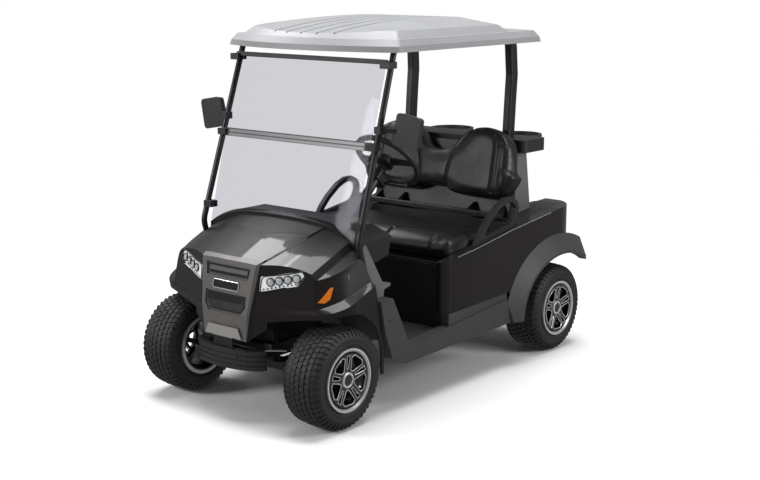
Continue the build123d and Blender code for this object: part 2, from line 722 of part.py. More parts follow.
DECK_FRONT = SEAT_BASE_REAR + 52
DECK_REAR = 1866
BUCKET_REAR = 1850
with BuildPart() as bag_well:
    with BuildSketch(Plane.XY.offset(700)):
        with BuildLine():
            for s in LEFT_RIGHT:
                Line((0, sta(DECK_FRONT)), (s * (FLANGE_INNER_X - 1), sta(DECK_FRONT)))
                Line((s * (FLANGE_INNER_X - 1), sta(DECK_FRONT)),
                     (s * (FLANGE_INNER_X - 1), sta(1788)))
                Line((s * (FLANGE_INNER_X - 1), sta(1788)), (s * 342, sta(1788)))
                Line((s * 342, sta(1788)), (s * 342, sta(DECK_REAR)))
                Line((s * 342, sta(DECK_REAR)), (0, sta(DECK_REAR)))
        make_face()
    extrude(amount=100)
    with BuildSketch(side_plane(0)):
        Polygon(*stations([(d, z) for d, z in TOP_LINE[1:]]
                          + [(d, z - DECK_THICKNESS) for d, z in reversed(TOP_LINE[1:])]),
                align=None)
    extrude(amount=600, both=True, mode=Mode.INTERSECT)
    with BuildSketch(side_plane(0)):
        Polygon(*stations([
            (DECK_FRONT, top_line_z(DECK_FRONT) - 3), (DECK_FRONT, 560),
            (DECK_FRONT + DECK_THICKNESS, 560),
            (DECK_FRONT + DECK_THICKNESS, top_line_z(DECK_FRONT) - 3)]), align=None)
    extrude(amount=FLANGE_INNER_X - 1, both=True)
    with BuildSketch(side_plane(0)):
        Polygon(*stations([
            (BAG_WELL_FRONT - 6, top_line_z(BAG_WELL_FRONT) - 3),
            (BAG_WELL_FRONT + 14, BAG_WELL_FLOOR_Z - 6), (BUCKET_REAR, BAG_WELL_FLOOR_Z - 6),
            (BUCKET_REAR, top_line_z(BUCKET_REAR) - 3)]), align=None)
    extrude(amount=BAG_WELL_HALF_WIDTH + 6, both=True)
    with BuildSketch(side_plane(0)):
        Polygon(*stations([
            (BAG_WELL_FRONT, 900), (BAG_WELL_FRONT, top_line_z(BAG_WELL_FRONT) - 3),
            (BAG_WELL_FRONT + 20, BAG_WELL_FLOOR_Z), (BUCKET_REAR - 6, BAG_WELL_FLOOR_Z),
            (BUCKET_REAR - 6, 900)]), align=None)
    extrude(amount=BAG_WELL_HALF_WIDTH, both=True, mode=Mode.SUBTRACT)
    with BuildSketch(front_plane(sta(1780))):
        Polygon((-BAG_WELL_HALF_WIDTH - 30, 900), (BAG_WELL_HALF_WIDTH + 30, 900),
                (BAG_WELL_HALF_WIDTH - 20, 560), (20 - BAG_WELL_HALF_WIDTH, 560), align=None)
    extrude(amount=-200, mode=Mode.SUBTRACT)
save(bag_well, "bag_well")


# Seat base. The kick panel, side walls and rear wall round the battery bay, with hinge ears.

SEAT_BASE_HALF = 492
HINGE_Z = SEAT_BASE_TOP + 14
HINGE_STATION = SEAT_REAR + 12
HINGE_X = 330
SEAT_BASE_WALL = 8
with BuildPart() as seat_base:
    with BuildSketch(Plane.XY.offset(FLOOR_Z + PIECE_GAP)):
        with BuildLine():
            Polyline((-SEAT_BASE_HALF, sta(SEAT_BASE_FRONT + 20)),
                     (20 - SEAT_BASE_HALF, sta(SEAT_BASE_FRONT)),
                     (SEAT_BASE_HALF - 20, sta(SEAT_BASE_FRONT)),
                     (SEAT_BASE_HALF, sta(SEAT_BASE_FRONT + 20)),
                     (SEAT_BASE_HALF, sta(SEAT_BASE_REAR)),
                     (-SEAT_BASE_HALF, sta(SEAT_BASE_REAR)), close=True)
        make_face()
        offset(amount=-SEAT_BASE_WALL, kind=Kind.INTERSECTION, mode=Mode.SUBTRACT)
    extrude(amount=SEAT_BASE_TOP - FLOOR_Z - PIECE_GAP)
    with BuildSketch(Plane.XY.offset(SEAT_BASE_TOP)):
        with Locations((0, sta((SEAT_BASE_FRONT + SEAT_BASE_REAR) / 2 + 10))):
            Rectangle(2 * SEAT_BASE_HALF - 10, SEAT_BASE_REAR - SEAT_BASE_FRONT - 40)
            Rectangle(2 * SEAT_BASE_HALF - 90, SEAT_BASE_REAR - SEAT_BASE_FRONT - 120,
                      mode=Mode.SUBTRACT)
    extrude(amount=-SEAT_BASE_WALL)
    with BuildSketch(front_plane(sta(SEAT_BASE_REAR - 40))):
        with Locations(*[(s * RAIL_X, FLOOR_Z) for s in LEFT_RIGHT]):
            Rectangle(RAIL_WIDTH + 12, 130)
    extrude(amount=-60, mode=Mode.SUBTRACT)
    for s in LEFT_RIGHT:
        for ear in LEFT_RIGHT:
            with BuildSketch(side_plane(s * HINGE_X + ear * 24 - 4)):
                with Locations((sta(HINGE_STATION), HINGE_Z)):
                    Circle(12)
                with Locations((sta(HINGE_STATION), (HINGE_Z + SEAT_BASE_TOP) / 2 - 2)):
                    Rectangle(24, HINGE_Z - SEAT_BASE_TOP + 4)
                with Locations((sta(HINGE_STATION), HINGE_Z)):
                    Circle(HINGE_PIN_RADIUS + RUNNING_GAP, mode=Mode.SUBTRACT)
            extrude(amount=8)
save(seat_base, "seat_base")

with BuildPart() as seat_pan:
    with BuildSketch(Plane.XY.offset(SEAT_BASE_TOP + PIECE_GAP)):
        with Locations((0, sta((SEAT_FRONT + SEAT_REAR) / 2))):
            RectangleRounded(2 * SEAT_HALF_WIDTH - 40, SEAT_REAR - SEAT_FRONT - 30, 30)
    extrude(amount=SEAT_PAN_THICKNESS)
    for s in LEFT_RIGHT:
        with BuildSketch(side_plane(s * HINGE_X - 19)):
            with Locations((sta(HINGE_STATION), HINGE_Z)):
                Circle(12)
            Polygon(*stations([
                (SEAT_REAR - 60, SEAT_BASE_TOP + PIECE_GAP), (HINGE_STATION, HINGE_Z - 12),
                (HINGE_STATION, HINGE_Z + 12), (SEAT_REAR - 29, SEAT_BASE_TOP + 10),
                (SEAT_REAR - 60, SEAT_BASE_TOP + 10)]), align=None)
        extrude(amount=38)
        with BuildSketch(side_plane(s * HINGE_X - 30)):
            with Locations((sta(HINGE_STATION), HINGE_Z)):
                Circle(HINGE_PIN_RADIUS)
        extrude(amount=60)
save(seat_pan, "seat_pan")

CUSHION_BASE_Z = SEAT_BASE_TOP + SEAT_PAN_THICKNESS + 2 * PIECE_GAP
with BuildPart() as seat_cushion:
    with BuildSketch(Plane.XY.offset(CUSHION_BASE_Z)):
        with Locations((0, sta((SEAT_FRONT + SEAT_REAR) / 2))):
            RectangleRounded(2 * SEAT_HALF_WIDTH, SEAT_REAR - SEAT_FRONT, 34)
    extrude(amount=CUSHION_HEIGHT)
    with BuildSketch(side_plane(0)):
        Polygon(*stations([
            (SEAT_FRONT + 14, CUSHION_BASE_Z), (SEAT_FRONT, CUSHION_BASE_Z + 50),
            (SEAT_FRONT + 8, CUSHION_BASE_Z + CUSHION_HEIGHT - 24),
            (SEAT_FRONT + 34, CUSHION_BASE_Z + CUSHION_HEIGHT),
            (SEAT_REAR - 130, CUSHION_BASE_Z + CUSHION_HEIGHT - 12),
            (SEAT_REAR, CUSHION_BASE_Z + CUSHION_HEIGHT - 10),
            (SEAT_REAR, CUSHION_BASE_Z + 30), (SEAT_REAR - 30, CUSHION_BASE_Z)]), align=None)
    extrude(amount=SEAT_HALF_WIDTH, both=True, mode=Mode.INTERSECT)
save(seat_cushion, "seat_cushion")


# Seat back. Two lobes with a dip between them, leaning back, and the frame that holds it.

SEAT_BACK_PLANE = Plane(origin=(0, sta(SEAT_BACK_FOOT), SEAT_BACK_FOOT_Z), x_dir=(1, 0, 0),
                        z_dir=(0, -cos(radians(SEAT_BACK_LEAN)), sin(radians(SEAT_BACK_LEAN))))
with BuildPart() as seat_back:
    with BuildSketch(SEAT_BACK_PLANE):
        with BuildLine():
            for s in LEFT_RIGHT:
                Spline((0, 225), (s * 60, 232), (s * 150, 318), (s * 240, SEAT_BACK_HEIGHT),
                       (s * 350, SEAT_BACK_HEIGHT - 10), (s * 440, 270), (s * 478, 130),
                       (s * 452, 22), tangents=((s, 0), (-s * 0.6, -1)))
                Line((s * 452, 22), (s * 400, 0))
                Line((s * 400, 0), (s * 130, 0))
                Line((s * 130, 0), (s * 60, 34))
                Line((s * 60, 34), (0, 34))
        make_face()
    extrude(amount=-SEAT_BACK_THICKNESS)
save(seat_back, "seat_back")

BACK_PLATE_PLANE = SEAT_BACK_PLANE.offset(-SEAT_BACK_THICKNESS - PIECE_GAP)
RAIL_BAR_Z = 753
BAR_STATION = SEAT_BACK_FOOT + 14
with BuildPart() as seat_back_frame:
    with BuildSketch(BACK_PLATE_PLANE):
        with Locations((0, 160)):
            RectangleRounded(760, 250, 40)
        with Locations((0, -24)):
            Rectangle(880, 128)
    extrude(amount=-6)
    with BuildSketch(side_plane(-440)):
        with Locations((sta(BAR_STATION), RAIL_BAR_Z)):
            RectangleRounded(22, 30, 6)
    extrude(amount=880)
    for bracket_x in (-405, -230, 230, 405):
        with BuildSketch(side_plane(bracket_x - 12)):
            Polygon(*stations([
                (BAR_STATION, 742), (1372, top_line_z(1372) + PIECE_GAP),
                (1462, top_line_z(1462) + PIECE_GAP), (1475, 900), (1420, 900),
                (1408.5, 856), (1394, 800), (BAR_STATION, 764)]), align=None)
        extrude(amount=24)
    for bracket_x in (-230, 230):
        with BuildSketch(side_plane(bracket_x - 12)):
            Polygon(*stations([(1409, 856), (1462, 838), (1520, RACK_BOTTOM_Z - PIECE_GAP),
                               (1466, RACK_BOTTOM_Z - PIECE_GAP)]), align=None)
        extrude(amount=24)
save(seat_back_frame, "seat_back_frame")


# Hip restraints. A closed loop on each side of the seat, standing on the rear body's rim.

LOOP_X = 512
LOOP_WIDTH = 26
with BuildPart() as hip_restraints:
    for s in LEFT_RIGHT:
        with BuildSketch(side_plane(s * LOOP_X)):
            with BuildSketch(side_plane(s * LOOP_X), mode=Mode.PRIVATE) as loop:
                Polygon(*stations([
                    (962, top_line_z(962) + PIECE_GAP), (1222, top_line_z(1222) + PIECE_GAP),
                    (1276, top_line_z(1276) + PIECE_GAP),
                    (1306, 750), (1325, 790), (1330, 814), (1317, 845), (1273, 872),
                    (1214, 872), (1149, 847), (1069, 792), (1022, 746)]), align=None)
            with BuildSketch(side_plane(s * LOOP_X), mode=Mode.PRIVATE) as hole:
                offset(loop.sketch_local, amount=-26, kind=Kind.INTERSECTION)
                fillet(hole.vertices(), radius=10)
            add(loop.sketch_local)
            add(hole.sketch_local, mode=Mode.SUBTRACT)
        extrude(amount=s * LOOP_WIDTH)
save(hip_restraints, "hip_restraints")


# Roof. A moulded canopy: a turned-down rim, a ledge and a raised, crowned middle.

ROOF_CORNER_RADIUS = 64
ROOF_TAIL = 168


def roof_outline(inset, tail):
    """The canopy's plan outline with bowed ends, set in by inset and cut short by tail."""
    front_corner = 366 + inset
    rear_corner = ROOF_REAR - inset - tail
    half = ROOF_HALF_WIDTH - inset
    with BuildSketch() as outline:
        with BuildLine():
            ThreePointArc((-half, sta(front_corner)), (0, sta(ROOF_FRONT + inset)),
                          (half, sta(front_corner)))
            Line((half, sta(front_corner)), (half, sta(rear_corner)))
            ThreePointArc((half, sta(rear_corner)), (0, sta(rear_corner + ROOF_REAR_BOW)),
                          (-half, sta(rear_corner)))
            Line((-half, sta(rear_corner)), (-half, sta(front_corner)))
        make_face()
        fillet(outline.vertices(), radius=max(ROOF_CORNER_RADIUS - inset, 30))
    return outline.sketch_local


ROOF_TIERS = ((ROOF_RIM_Z, 0, 0), (ROOF_RIM_Z + 26, 8, 0), (ROOF_LEDGE_Z, 32, 0),
              (ROOF_LEDGE_Z, 56, ROOF_TAIL), (ROOF_LEDGE_Z + 34, 92, ROOF_TAIL),
              (ROOF_TOP_Z + 8, 260, ROOF_TAIL))


def roof_arc_edges(drop, edge_z):
    """In side view, the roof's arc lowered by drop, closed along a level line at edge_z."""
    front = ROOF_FRONT - 60
    rear = ROOF_REAR + 120
    with BuildLine() as profile:
        ThreePointArc(*stations([(front, ROOF_LEDGE_Z - 4 - drop), (1110, ROOF_TOP_Z - drop),
                                 (rear, ROOF_TOP_Z - 42 - drop)]))
        Polyline(*stations([(rear, ROOF_TOP_Z - 42 - drop), (rear, edge_z), (front, edge_z),
                            (front, ROOF_LEDGE_Z - 4 - drop)]))
    return profile.line.edges()


def roof_form(inset):
    """The canopy's outer form, or the same form set in and lowered by inset."""
    with BuildPart() as form:
        for lower, upper in zip(ROOF_TIERS, ROOF_TIERS[1:]):
            if upper[0] > lower[0]:
                for height, tier_inset, tail in (lower, upper):
                    drop = 0 if height == ROOF_RIM_Z else inset
                    with BuildSketch(Plane.XY.offset(height - drop)):
                        add(roof_outline(tier_inset + inset, tail))
                loft(ruled=True)
        with BuildSketch(side_plane(0)):
            make_face(roof_arc_edges(inset, ROOF_RIM_Z - 50))
        extrude(amount=ROOF_HALF_WIDTH + 40, both=True, mode=Mode.INTERSECT)
    return form.part


GROOVE_WIDTH = 10
GROOVE_DEPTH = 5
GROOVE_PITCH = 92
with BuildPart() as canopy:
    add(roof_form(0))
    add(roof_form(ROOF_WALL), mode=Mode.SUBTRACT)
    for groove in range(-2, 3):
        with BuildSketch(side_plane(groove * GROOVE_PITCH - GROOVE_WIDTH / 2)):
            make_face(roof_arc_edges(GROOVE_DEPTH, 1790))
        extrude(amount=GROOVE_WIDTH, mode=Mode.SUBTRACT)
save(canopy, "canopy")


# Rear struts and their covers. Each bowed strut stands on the deck inside a cover.

REAR_STRUT_X = 322
REAR_STRUT_STATION = 1543


def rear_strut_form(side, grow):
    """A rear strut on one side, from the deck to the roof, grown by grow all round."""
    bends = ((0, -8, 700), (0, -10, 1060), (0, 6, 1300), (0, 18, 1450), (-2, 8, 1590),
             (-6, -13, 1700))
    with BuildPart() as bar:
        for inward, back, z in bends:
            with BuildSketch(Plane.XY.offset(z)):
                with Locations((side * (REAR_STRUT_X + inward), sta(REAR_STRUT_STATION + back))):
                    RectangleRounded(REAR_STRUT_DEPTH + 2 * grow, REAR_STRUT_WIDTH + 2 * grow,
                                     10 + grow)
        loft(ruled=True)
        add(strut_room.part, mode=Mode.INTERSECT)
    return bar.part


with BuildPart() as strut_room:
    with BuildSketch(side_plane(0)):
        Polygon(*stations([
            (1440, top_line_z(1440) + PIECE_GAP), (1660, top_line_z(1660) + PIECE_GAP),
            (1660, ROOF_RIM_Z + 1), (1440, ROOF_RIM_Z + 1)]), align=None)
    extrude(amount=500, both=True)
    add(roof_form(ROOF_WALL + PIECE_GAP))

with BuildPart() as rear_struts:
    for s in LEFT_RIGHT:
        add(rear_strut_form(s, 0))
save(rear_struts, "rear_struts")

COVER_TOP = RACK_BOTTOM_Z - PIECE_GAP
COVER_REAR = 1590
COVER_WALL = 5
COVER_INNER_X = 290
COVER_WIDTH = 112


def cover_outline(inset, extra):
    """A pillar cover's outline in side view, set in by inset and longer by extra."""
    return stations([
        (1468 + inset, top_line_z(1468) + PIECE_GAP - extra),
        (1634 - inset, top_line_z(1634) + PIECE_GAP - extra),
        (COVER_REAR - inset, COVER_TOP + extra), (1484 + inset, COVER_TOP + extra)])


with BuildPart() as pillar_covers:
    for s in LEFT_RIGHT:
        with BuildSketch(side_plane(s * COVER_INNER_X)):
            Polygon(*cover_outline(0, 0), align=None)
        extrude(amount=s * COVER_WIDTH)
        with BuildSketch(side_plane(s * (COVER_INNER_X + COVER_WALL))):
            Polygon(*cover_outline(COVER_WALL, 20), align=None)
        extrude(amount=s * (COVER_WIDTH - 2 * COVER_WALL), mode=Mode.SUBTRACT)
save(pillar_covers, "pillar_covers")


# Windshield. Two panes in one plane, a channel between them, and clips to the struts.

GLASS_TILT = atan2(GLASS_SLOPE, 1)
GLASS_PLANE = Plane(origin=(0, sta(GLASS_FOOT), GLASS_FOOT_Z), x_dir=(1, 0, 0),
                    z_dir=(0, -cos(GLASS_TILT), sin(GLASS_TILT)))
PANE_HALF_FOOT = 452
PANE_HALF_MID = 455
PANE_HALF_TOP = 464
CHANNEL_HEIGHT = 38
CHANNEL_DEPTH = 16


def up_glass(height):
    """The distance up the glass plane from its foot to a height."""
    return (height - GLASS_FOOT_Z) / cos(GLASS_TILT)


with BuildPart() as windshield_lower:
    with BuildSketch(GLASS_PLANE.offset(-GLASS_THICKNESS / 2)):
        with BuildLine():
            for s in LEFT_RIGHT:
                ThreePointArc((0, 0), (s * 130, -2), (s * 252, -12))
                ThreePointArc((s * 252, -12), (s * 360, -38), (s * PANE_HALF_FOOT, -84))
                Line((s * PANE_HALF_FOOT, -84),
                     (s * PANE_HALF_MID, up_glass(GLASS_MID_Z) - CHANNEL_HEIGHT / 2 + 6))
            Line((-PANE_HALF_MID, up_glass(GLASS_MID_Z) - CHANNEL_HEIGHT / 2 + 6),
                 (PANE_HALF_MID, up_glass(GLASS_MID_Z) - CHANNEL_HEIGHT / 2 + 6))
        make_face()
    extrude(amount=GLASS_THICKNESS)
save(windshield_lower, "windshield_lower")

with BuildPart() as windshield_upper:
    with BuildSketch(GLASS_PLANE.offset(-GLASS_THICKNESS / 2)):
        Polygon((-PANE_HALF_MID, up_glass(GLASS_MID_Z) + CHANNEL_HEIGHT / 2 - 6),
                (PANE_HALF_MID, up_glass(GLASS_MID_Z) + CHANNEL_HEIGHT / 2 - 6),
                (PANE_HALF_TOP, up_glass(GLASS_TOP_Z)), (-PANE_HALF_TOP, up_glass(GLASS_TOP_Z)),
                align=None)
    extrude(amount=GLASS_THICKNESS)
save(windshield_upper, "windshield_upper")

CLIP_HEIGHTS = (862, 1202, 1556)
CLIP_HEIGHT = 30
with BuildPart() as windshield_trim:
    with BuildSketch(GLASS_PLANE.offset(-CHANNEL_DEPTH / 2)):
        with Locations((0, up_glass(GLASS_MID_Z))):
            Rectangle(2 * PANE_HALF_MID + 6, CHANNEL_HEIGHT)
        with Locations((0, up_glass(GLASS_TOP_Z) - 6)):
            Rectangle(2 * PANE_HALF_TOP + 4, 20)
    extrude(amount=CHANNEL_DEPTH)
    for clip_z in CLIP_HEIGHTS:
        strut_y = sta(STRUT_BEND[1] + (clip_z - STRUT_BEND[2])
                      * (STRUT_ROOF[1] - STRUT_BEND[1]) / (STRUT_ROOF[2] - STRUT_BEND[2]))
        glass_y = sta(GLASS_FOOT + (clip_z - GLASS_FOOT_Z) * GLASS_SLOPE)
        clip_front = min(strut_y, glass_y) - 16
        clip_rear = max(strut_y, glass_y) + 16
        for s in LEFT_RIGHT:
            with BuildSketch(Plane.XY.offset(clip_z)):
                with Locations((s * 468, (clip_front + clip_rear) / 2)):
                    Rectangle(52, clip_rear - clip_front)
            extrude(amount=CLIP_HEIGHT)
    with BuildSketch(GLASS_PLANE.offset(-GLASS_THICKNESS / 2 - PIECE_GAP)):
        Polygon((-PANE_HALF_FOOT - 1, -100),
                (PANE_HALF_FOOT + 1, -100),
                (PANE_HALF_MID + 1, up_glass(GLASS_MID_Z) - CHANNEL_HEIGHT / 2 + 6 + PIECE_GAP),
                (-PANE_HALF_MID - 1, up_glass(GLASS_MID_Z) - CHANNEL_HEIGHT / 2 + 6 + PIECE_GAP),
                align=None)
        Polygon((-PANE_HALF_MID - 1, up_glass(GLASS_MID_Z) + CHANNEL_HEIGHT / 2 - 6 - PIECE_GAP),
                (PANE_HALF_MID + 1, up_glass(GLASS_MID_Z) + CHANNEL_HEIGHT / 2 - 6 - PIECE_GAP),
                (PANE_HALF_TOP + 1, up_glass(GLASS_TOP_Z) + PIECE_GAP),
                (-PANE_HALF_TOP - 1, up_glass(GLASS_TOP_Z) + PIECE_GAP), align=None)
    extrude(amount=GLASS_THICKNESS + 2 * PIECE_GAP, mode=Mode.SUBTRACT)
    for s in LEFT_RIGHT:
        add(strut_form(FRONT_STRUT_RADIUS + PIECE_GAP, s), mode=Mode.SUBTRACT)
save(windshield_trim, "windshield_trim")


# Mirrors. A rounded housing on each side, on an arm clamped to the front strut.

MIRROR_ARM_Z = 1290
with BuildPart() as mirrors:
    for s in LEFT_RIGHT:
        with BuildSketch(front_plane(sta(MIRROR_STATION - MIRROR_DEPTH / 2))) as housing:
            Polygon((s * MIRROR_INNER_X, MIRROR_BOTTOM_Z + 26),
                    (s * (MIRROR_OUTER_X - 26), MIRROR_BOTTOM_Z),
                    (s * MIRROR_OUTER_X, MIRROR_TOP_Z - 22),
                    (s * (MIRROR_INNER_X + 39), MIRROR_TOP_Z), align=None)
            fillet(housing.vertices(), radius=20)
        extrude(amount=-MIRROR_DEPTH, taper=8)
        strut_y = sta(STRUT_BEND[1] + (MIRROR_ARM_Z - STRUT_BEND[2])
                      * (STRUT_ROOF[1] - STRUT_BEND[1]) / (STRUT_ROOF[2] - STRUT_BEND[2]))
        with BuildSketch(Plane.XY.offset(MIRROR_ARM_Z - 16)):
            with Locations((s * 482, strut_y)):
                RectangleRounded(42, 44, 8)
        extrude(amount=32)
        with BuildSketch(Plane.XY.offset(MIRROR_ARM_Z - 9)):
            Polygon((s * 498, strut_y - 12), (s * 498, strut_y + 16),
                    (s * 562, sta(MIRROR_STATION + 6)), (s * 562, sta(MIRROR_STATION - 14)),
                    align=None)
        extrude(amount=18)
    for s in LEFT_RIGHT:
        add(strut_form(FRONT_STRUT_RADIUS + PIECE_GAP, s), mode=Mode.SUBTRACT)
save(mirrors, "mirrors")


# Cowl band, side trims and dash

COWL_RISE = 14
COWL_DEPTH = 26
with BuildPart() as cowl_band:
    with BuildSketch(front_plane(sta(HOOD_REAR + PIECE_GAP))):
        make_face(crown_profile(-COWL_RISE))
    extrude(amount=COWL_DEPTH, dir=(0, 1, HOOD_SLOPE))
    with BuildSketch(front_plane(sta(HOOD_REAR - 10))):
        make_face(crown_profile(COWL_RISE + 10 * HOOD_SLOPE))
    extrude(amount=3 * COWL_DEPTH, dir=(0, 1, HOOD_SLOPE), mode=Mode.SUBTRACT)
    with BuildSketch(front_plane(sta(HOOD_REAR - 50))):
        with Locations((0, 800)):
            Rectangle(936, 400)
    extrude(amount=-200, mode=Mode.INTERSECT)
save(cowl_band, "cowl_band")

DASH_HALF_WIDTH = TOE_HALF_WIDTH
TRIM_INNER_X = DASH_HALF_WIDTH + PIECE_GAP
TRIM_THICKNESS = 6
with BuildPart() as cowl_trim:
    for s in LEFT_RIGHT:
        with BuildSketch(side_plane(s * TRIM_INNER_X)):
            Polygon(*stations([(193, 775), (212, 790), (345, 575), (338, 530), (262, 530)]),
                    align=None)
        extrude(amount=s * TRIM_THICKNESS)
        with BuildSketch(side_plane(s * (TRIM_INNER_X - 30))):
            Polygon(*stations([(318, 556), (388, 572), (388, 584), (318, 600)]), align=None)
        extrude(amount=s * (TRIM_THICKNESS + 30))
save(cowl_trim, "cowl_trim")

COLUMN_TILT = radians(43)
WHEEL_CENTRE = (COLUMN_X, sta(642), 1100)
COLUMN_LENGTH = 404
COLUMN_PLANE = Plane(origin=WHEEL_CENTRE, x_dir=(1, 0, 0),
                     z_dir=(0, cos(COLUMN_TILT), sin(COLUMN_TILT)))
with BuildPart() as dash:
    with BuildSketch(side_plane(0)):
        Polygon(*stations([(193, 700), (193, 846), (300, 872), (380, 862), (402, 800),
                           (380, 716), (300, 696)]), align=None)
    extrude(amount=DASH_HALF_WIDTH, both=True)
    with BuildSketch(front_plane(sta(0))):
        make_face(crown_profile(-22))
    extrude(amount=-500, mode=Mode.INTERSECT)
    with BuildSketch(side_plane(COLUMN_X - 34)):
        Polygon(*stations([(326, 850), (341, 872), (448, 970), (500, 918), (424, 848),
                           (396, 812), (340, 820)]), align=None)
    extrude(amount=68)
    with BuildSketch(COLUMN_PLANE.offset(-COLUMN_LENGTH - PIECE_GAP)):
        Circle(COLUMN_RADIUS + PIECE_GAP)
    extrude(amount=240, mode=Mode.SUBTRACT)
save(dash, "dash")


# Steering column and wheel

SHAFT_RADIUS = 10
HUB_BACK = 30
STALK_Y = WHEEL_CENTRE[1] - 105 * cos(COLUMN_TILT) + 40 * sin(COLUMN_TILT)
STALK_Z = WHEEL_CENTRE[2] - 105 * sin(COLUMN_TILT) - 40 * cos(COLUMN_TILT)
with BuildPart() as steering_column:
    with BuildSketch(COLUMN_PLANE.offset(-COLUMN_LENGTH)):
        Circle(COLUMN_RADIUS)
    extrude(amount=COLUMN_LENGTH - HUB_BACK - MOVING_GAP)
    with BuildSketch(COLUMN_PLANE.offset(-126)):
        with Locations((0, 16)):
            RectangleRounded(58, 84, 10)
    extrude(amount=42)
    with BuildSketch(side_plane(COLUMN_X)):
        with Locations((STALK_Y, STALK_Z)):
            Circle(6)
    extrude(amount=118)
    with BuildSketch(side_plane(COLUMN_X + 108)):
        with Locations((STALK_Y, STALK_Z)):
            Circle(11)
    extrude(amount=44)
    with BuildSketch(COLUMN_PLANE.offset(-130)):
        Circle(SHAFT_RADIUS + RUNNING_GAP)
    extrude(amount=130, mode=Mode.SUBTRACT)
save(steering_column, "steering_column")

SPOKE_REACH = WHEEL_RIM_RADIUS - 6
with BuildPart() as steering_wheel:
    with BuildLine(COLUMN_PLANE):
        rim_path = CenterArc((0, 0), WHEEL_RIM_RADIUS, 0, 360)
    with BuildSketch(Plane(origin=rim_path @ 0, z_dir=rim_path % 0)):
        Circle(WHEEL_RIM_THICKNESS / 2)
    sweep(path=rim_path)
    with BuildSketch(COLUMN_PLANE.offset(-HUB_BACK)):
        Circle(42)
    extrude(amount=HUB_BACK + 4)
    with BuildSketch(COLUMN_PLANE.offset(-9)):
        Polygon((-SPOKE_REACH, -16), (0, -26), (SPOKE_REACH, -16), (SPOKE_REACH, 16), (0, 26),
                (-SPOKE_REACH, 16), align=None)
    extrude(amount=8)
    with BuildSketch(COLUMN_PLANE.offset(-122)):
        Circle(SHAFT_RADIUS)
    extrude(amount=122)
save(steering_wheel, "steering_wheel")


# Pedals. Two pads on arms that stand off the toe board.

TOE_RISE = TOE_TOP[1] - FLOOR_Z
TOE_RUN = TOE_BOARD_FOOT - TOE_TOP[0]
TOE_ANGLE = atan2(TOE_RISE, TOE_RUN)
PEDALS = ((210, 105, 75), (318, 62, 130))
with BuildPart() as pedals:
    for pedal_x, pad_width, pad_length in PEDALS:
        pedal_plane = Plane(
            origin=(pedal_x, sta(TOE_BOARD_FOOT - 140 * cos(TOE_ANGLE)),
                    FLOOR_Z + 140 * sin(TOE_ANGLE)),
            x_dir=(1, 0, 0), z_dir=(0, sin(TOE_ANGLE), cos(TOE_ANGLE)))
        with BuildSketch(pedal_plane.offset(PIECE_GAP)):
            Rectangle(22, 34)
        extrude(amount=70)
        with BuildSketch(pedal_plane.offset(64)):
            RectangleRounded(pad_width, pad_length, 8)
        extrude(amount=10)
save(pedals, "pedals")


# Bumpers and nose plates

BUMPER_BOTTOM_Z = 244
BUMPER_TOP_Z = 333
BUMPER_WALL = 13
RIB_COUNT = 4


def bumper_outline(inset):
    """The front bumper's plan outline, or the same outline set in from the front."""
    with BuildLine() as outline:
        ThreePointArc((inset / 2 - 125, sta(-223 + inset)), (0, sta(-FRONT_OVERHANG + inset)),
                      (125 - inset / 2, sta(-223 + inset)))
        for s in LEFT_RIGHT:
            ThreePointArc((s * (125 - inset / 2), sta(-223 + inset)),
                          (s * (178 - inset * 0.6), sta(-200 + inset * 0.9)),
                          (s * (214 - inset), sta(-157 + inset / 3)))
            Line((s * (214 - inset), sta(-157 + inset / 3)), (s * (214 - inset), sta(-100)))
        Line((inset - 214, sta(-100)), (214 - inset, sta(-100)))
    return outline.line.edges()


with BuildPart() as front_bumper:
    with BuildSketch(Plane.XY.offset(BUMPER_BOTTOM_Z)):
        make_face(bumper_outline(0))
    extrude(amount=BUMPER_TOP_Z - BUMPER_BOTTOM_Z)
    with BuildSketch(Plane.XY.offset(BUMPER_BOTTOM_Z)):
        make_face(bumper_outline(BUMPER_WALL))
    extrude(amount=BUMPER_TOP_Z - BUMPER_BOTTOM_Z, mode=Mode.SUBTRACT)
    with BuildSketch(Plane.XY.offset(BUMPER_BOTTOM_Z - 10)):
        with Locations((0, sta(-50))):
            Rectangle(600, 2 * 107)
    extrude(amount=200, mode=Mode.SUBTRACT)
    rib_pitch = (BUMPER_TOP_Z - BUMPER_BOTTOM_Z) / RIB_COUNT
    for rib in range(1, RIB_COUNT):
        with BuildSketch(Plane.XY.offset(BUMPER_BOTTOM_Z + rib * rib_pitch - 3)):
            with Locations((0, sta(-100))):
                Rectangle(600, 400)
            make_face(bumper_outline(4), mode=Mode.SUBTRACT)
        extrude(amount=6, mode=Mode.SUBTRACT)
    for s in LEFT_RIGHT:
        with BuildSketch(Plane.XY.offset(BUMPER_TOP_Z - 33)):
            Polygon((s * 150, sta(-203)), (s * 196, sta(-173)),
                    (s * 196, sta(RAIL_FRONT - PIECE_GAP)),
                    (s * 150, sta(RAIL_FRONT - PIECE_GAP)), align=None)
        extrude(amount=33)
save(front_bumper, "front_bumper")

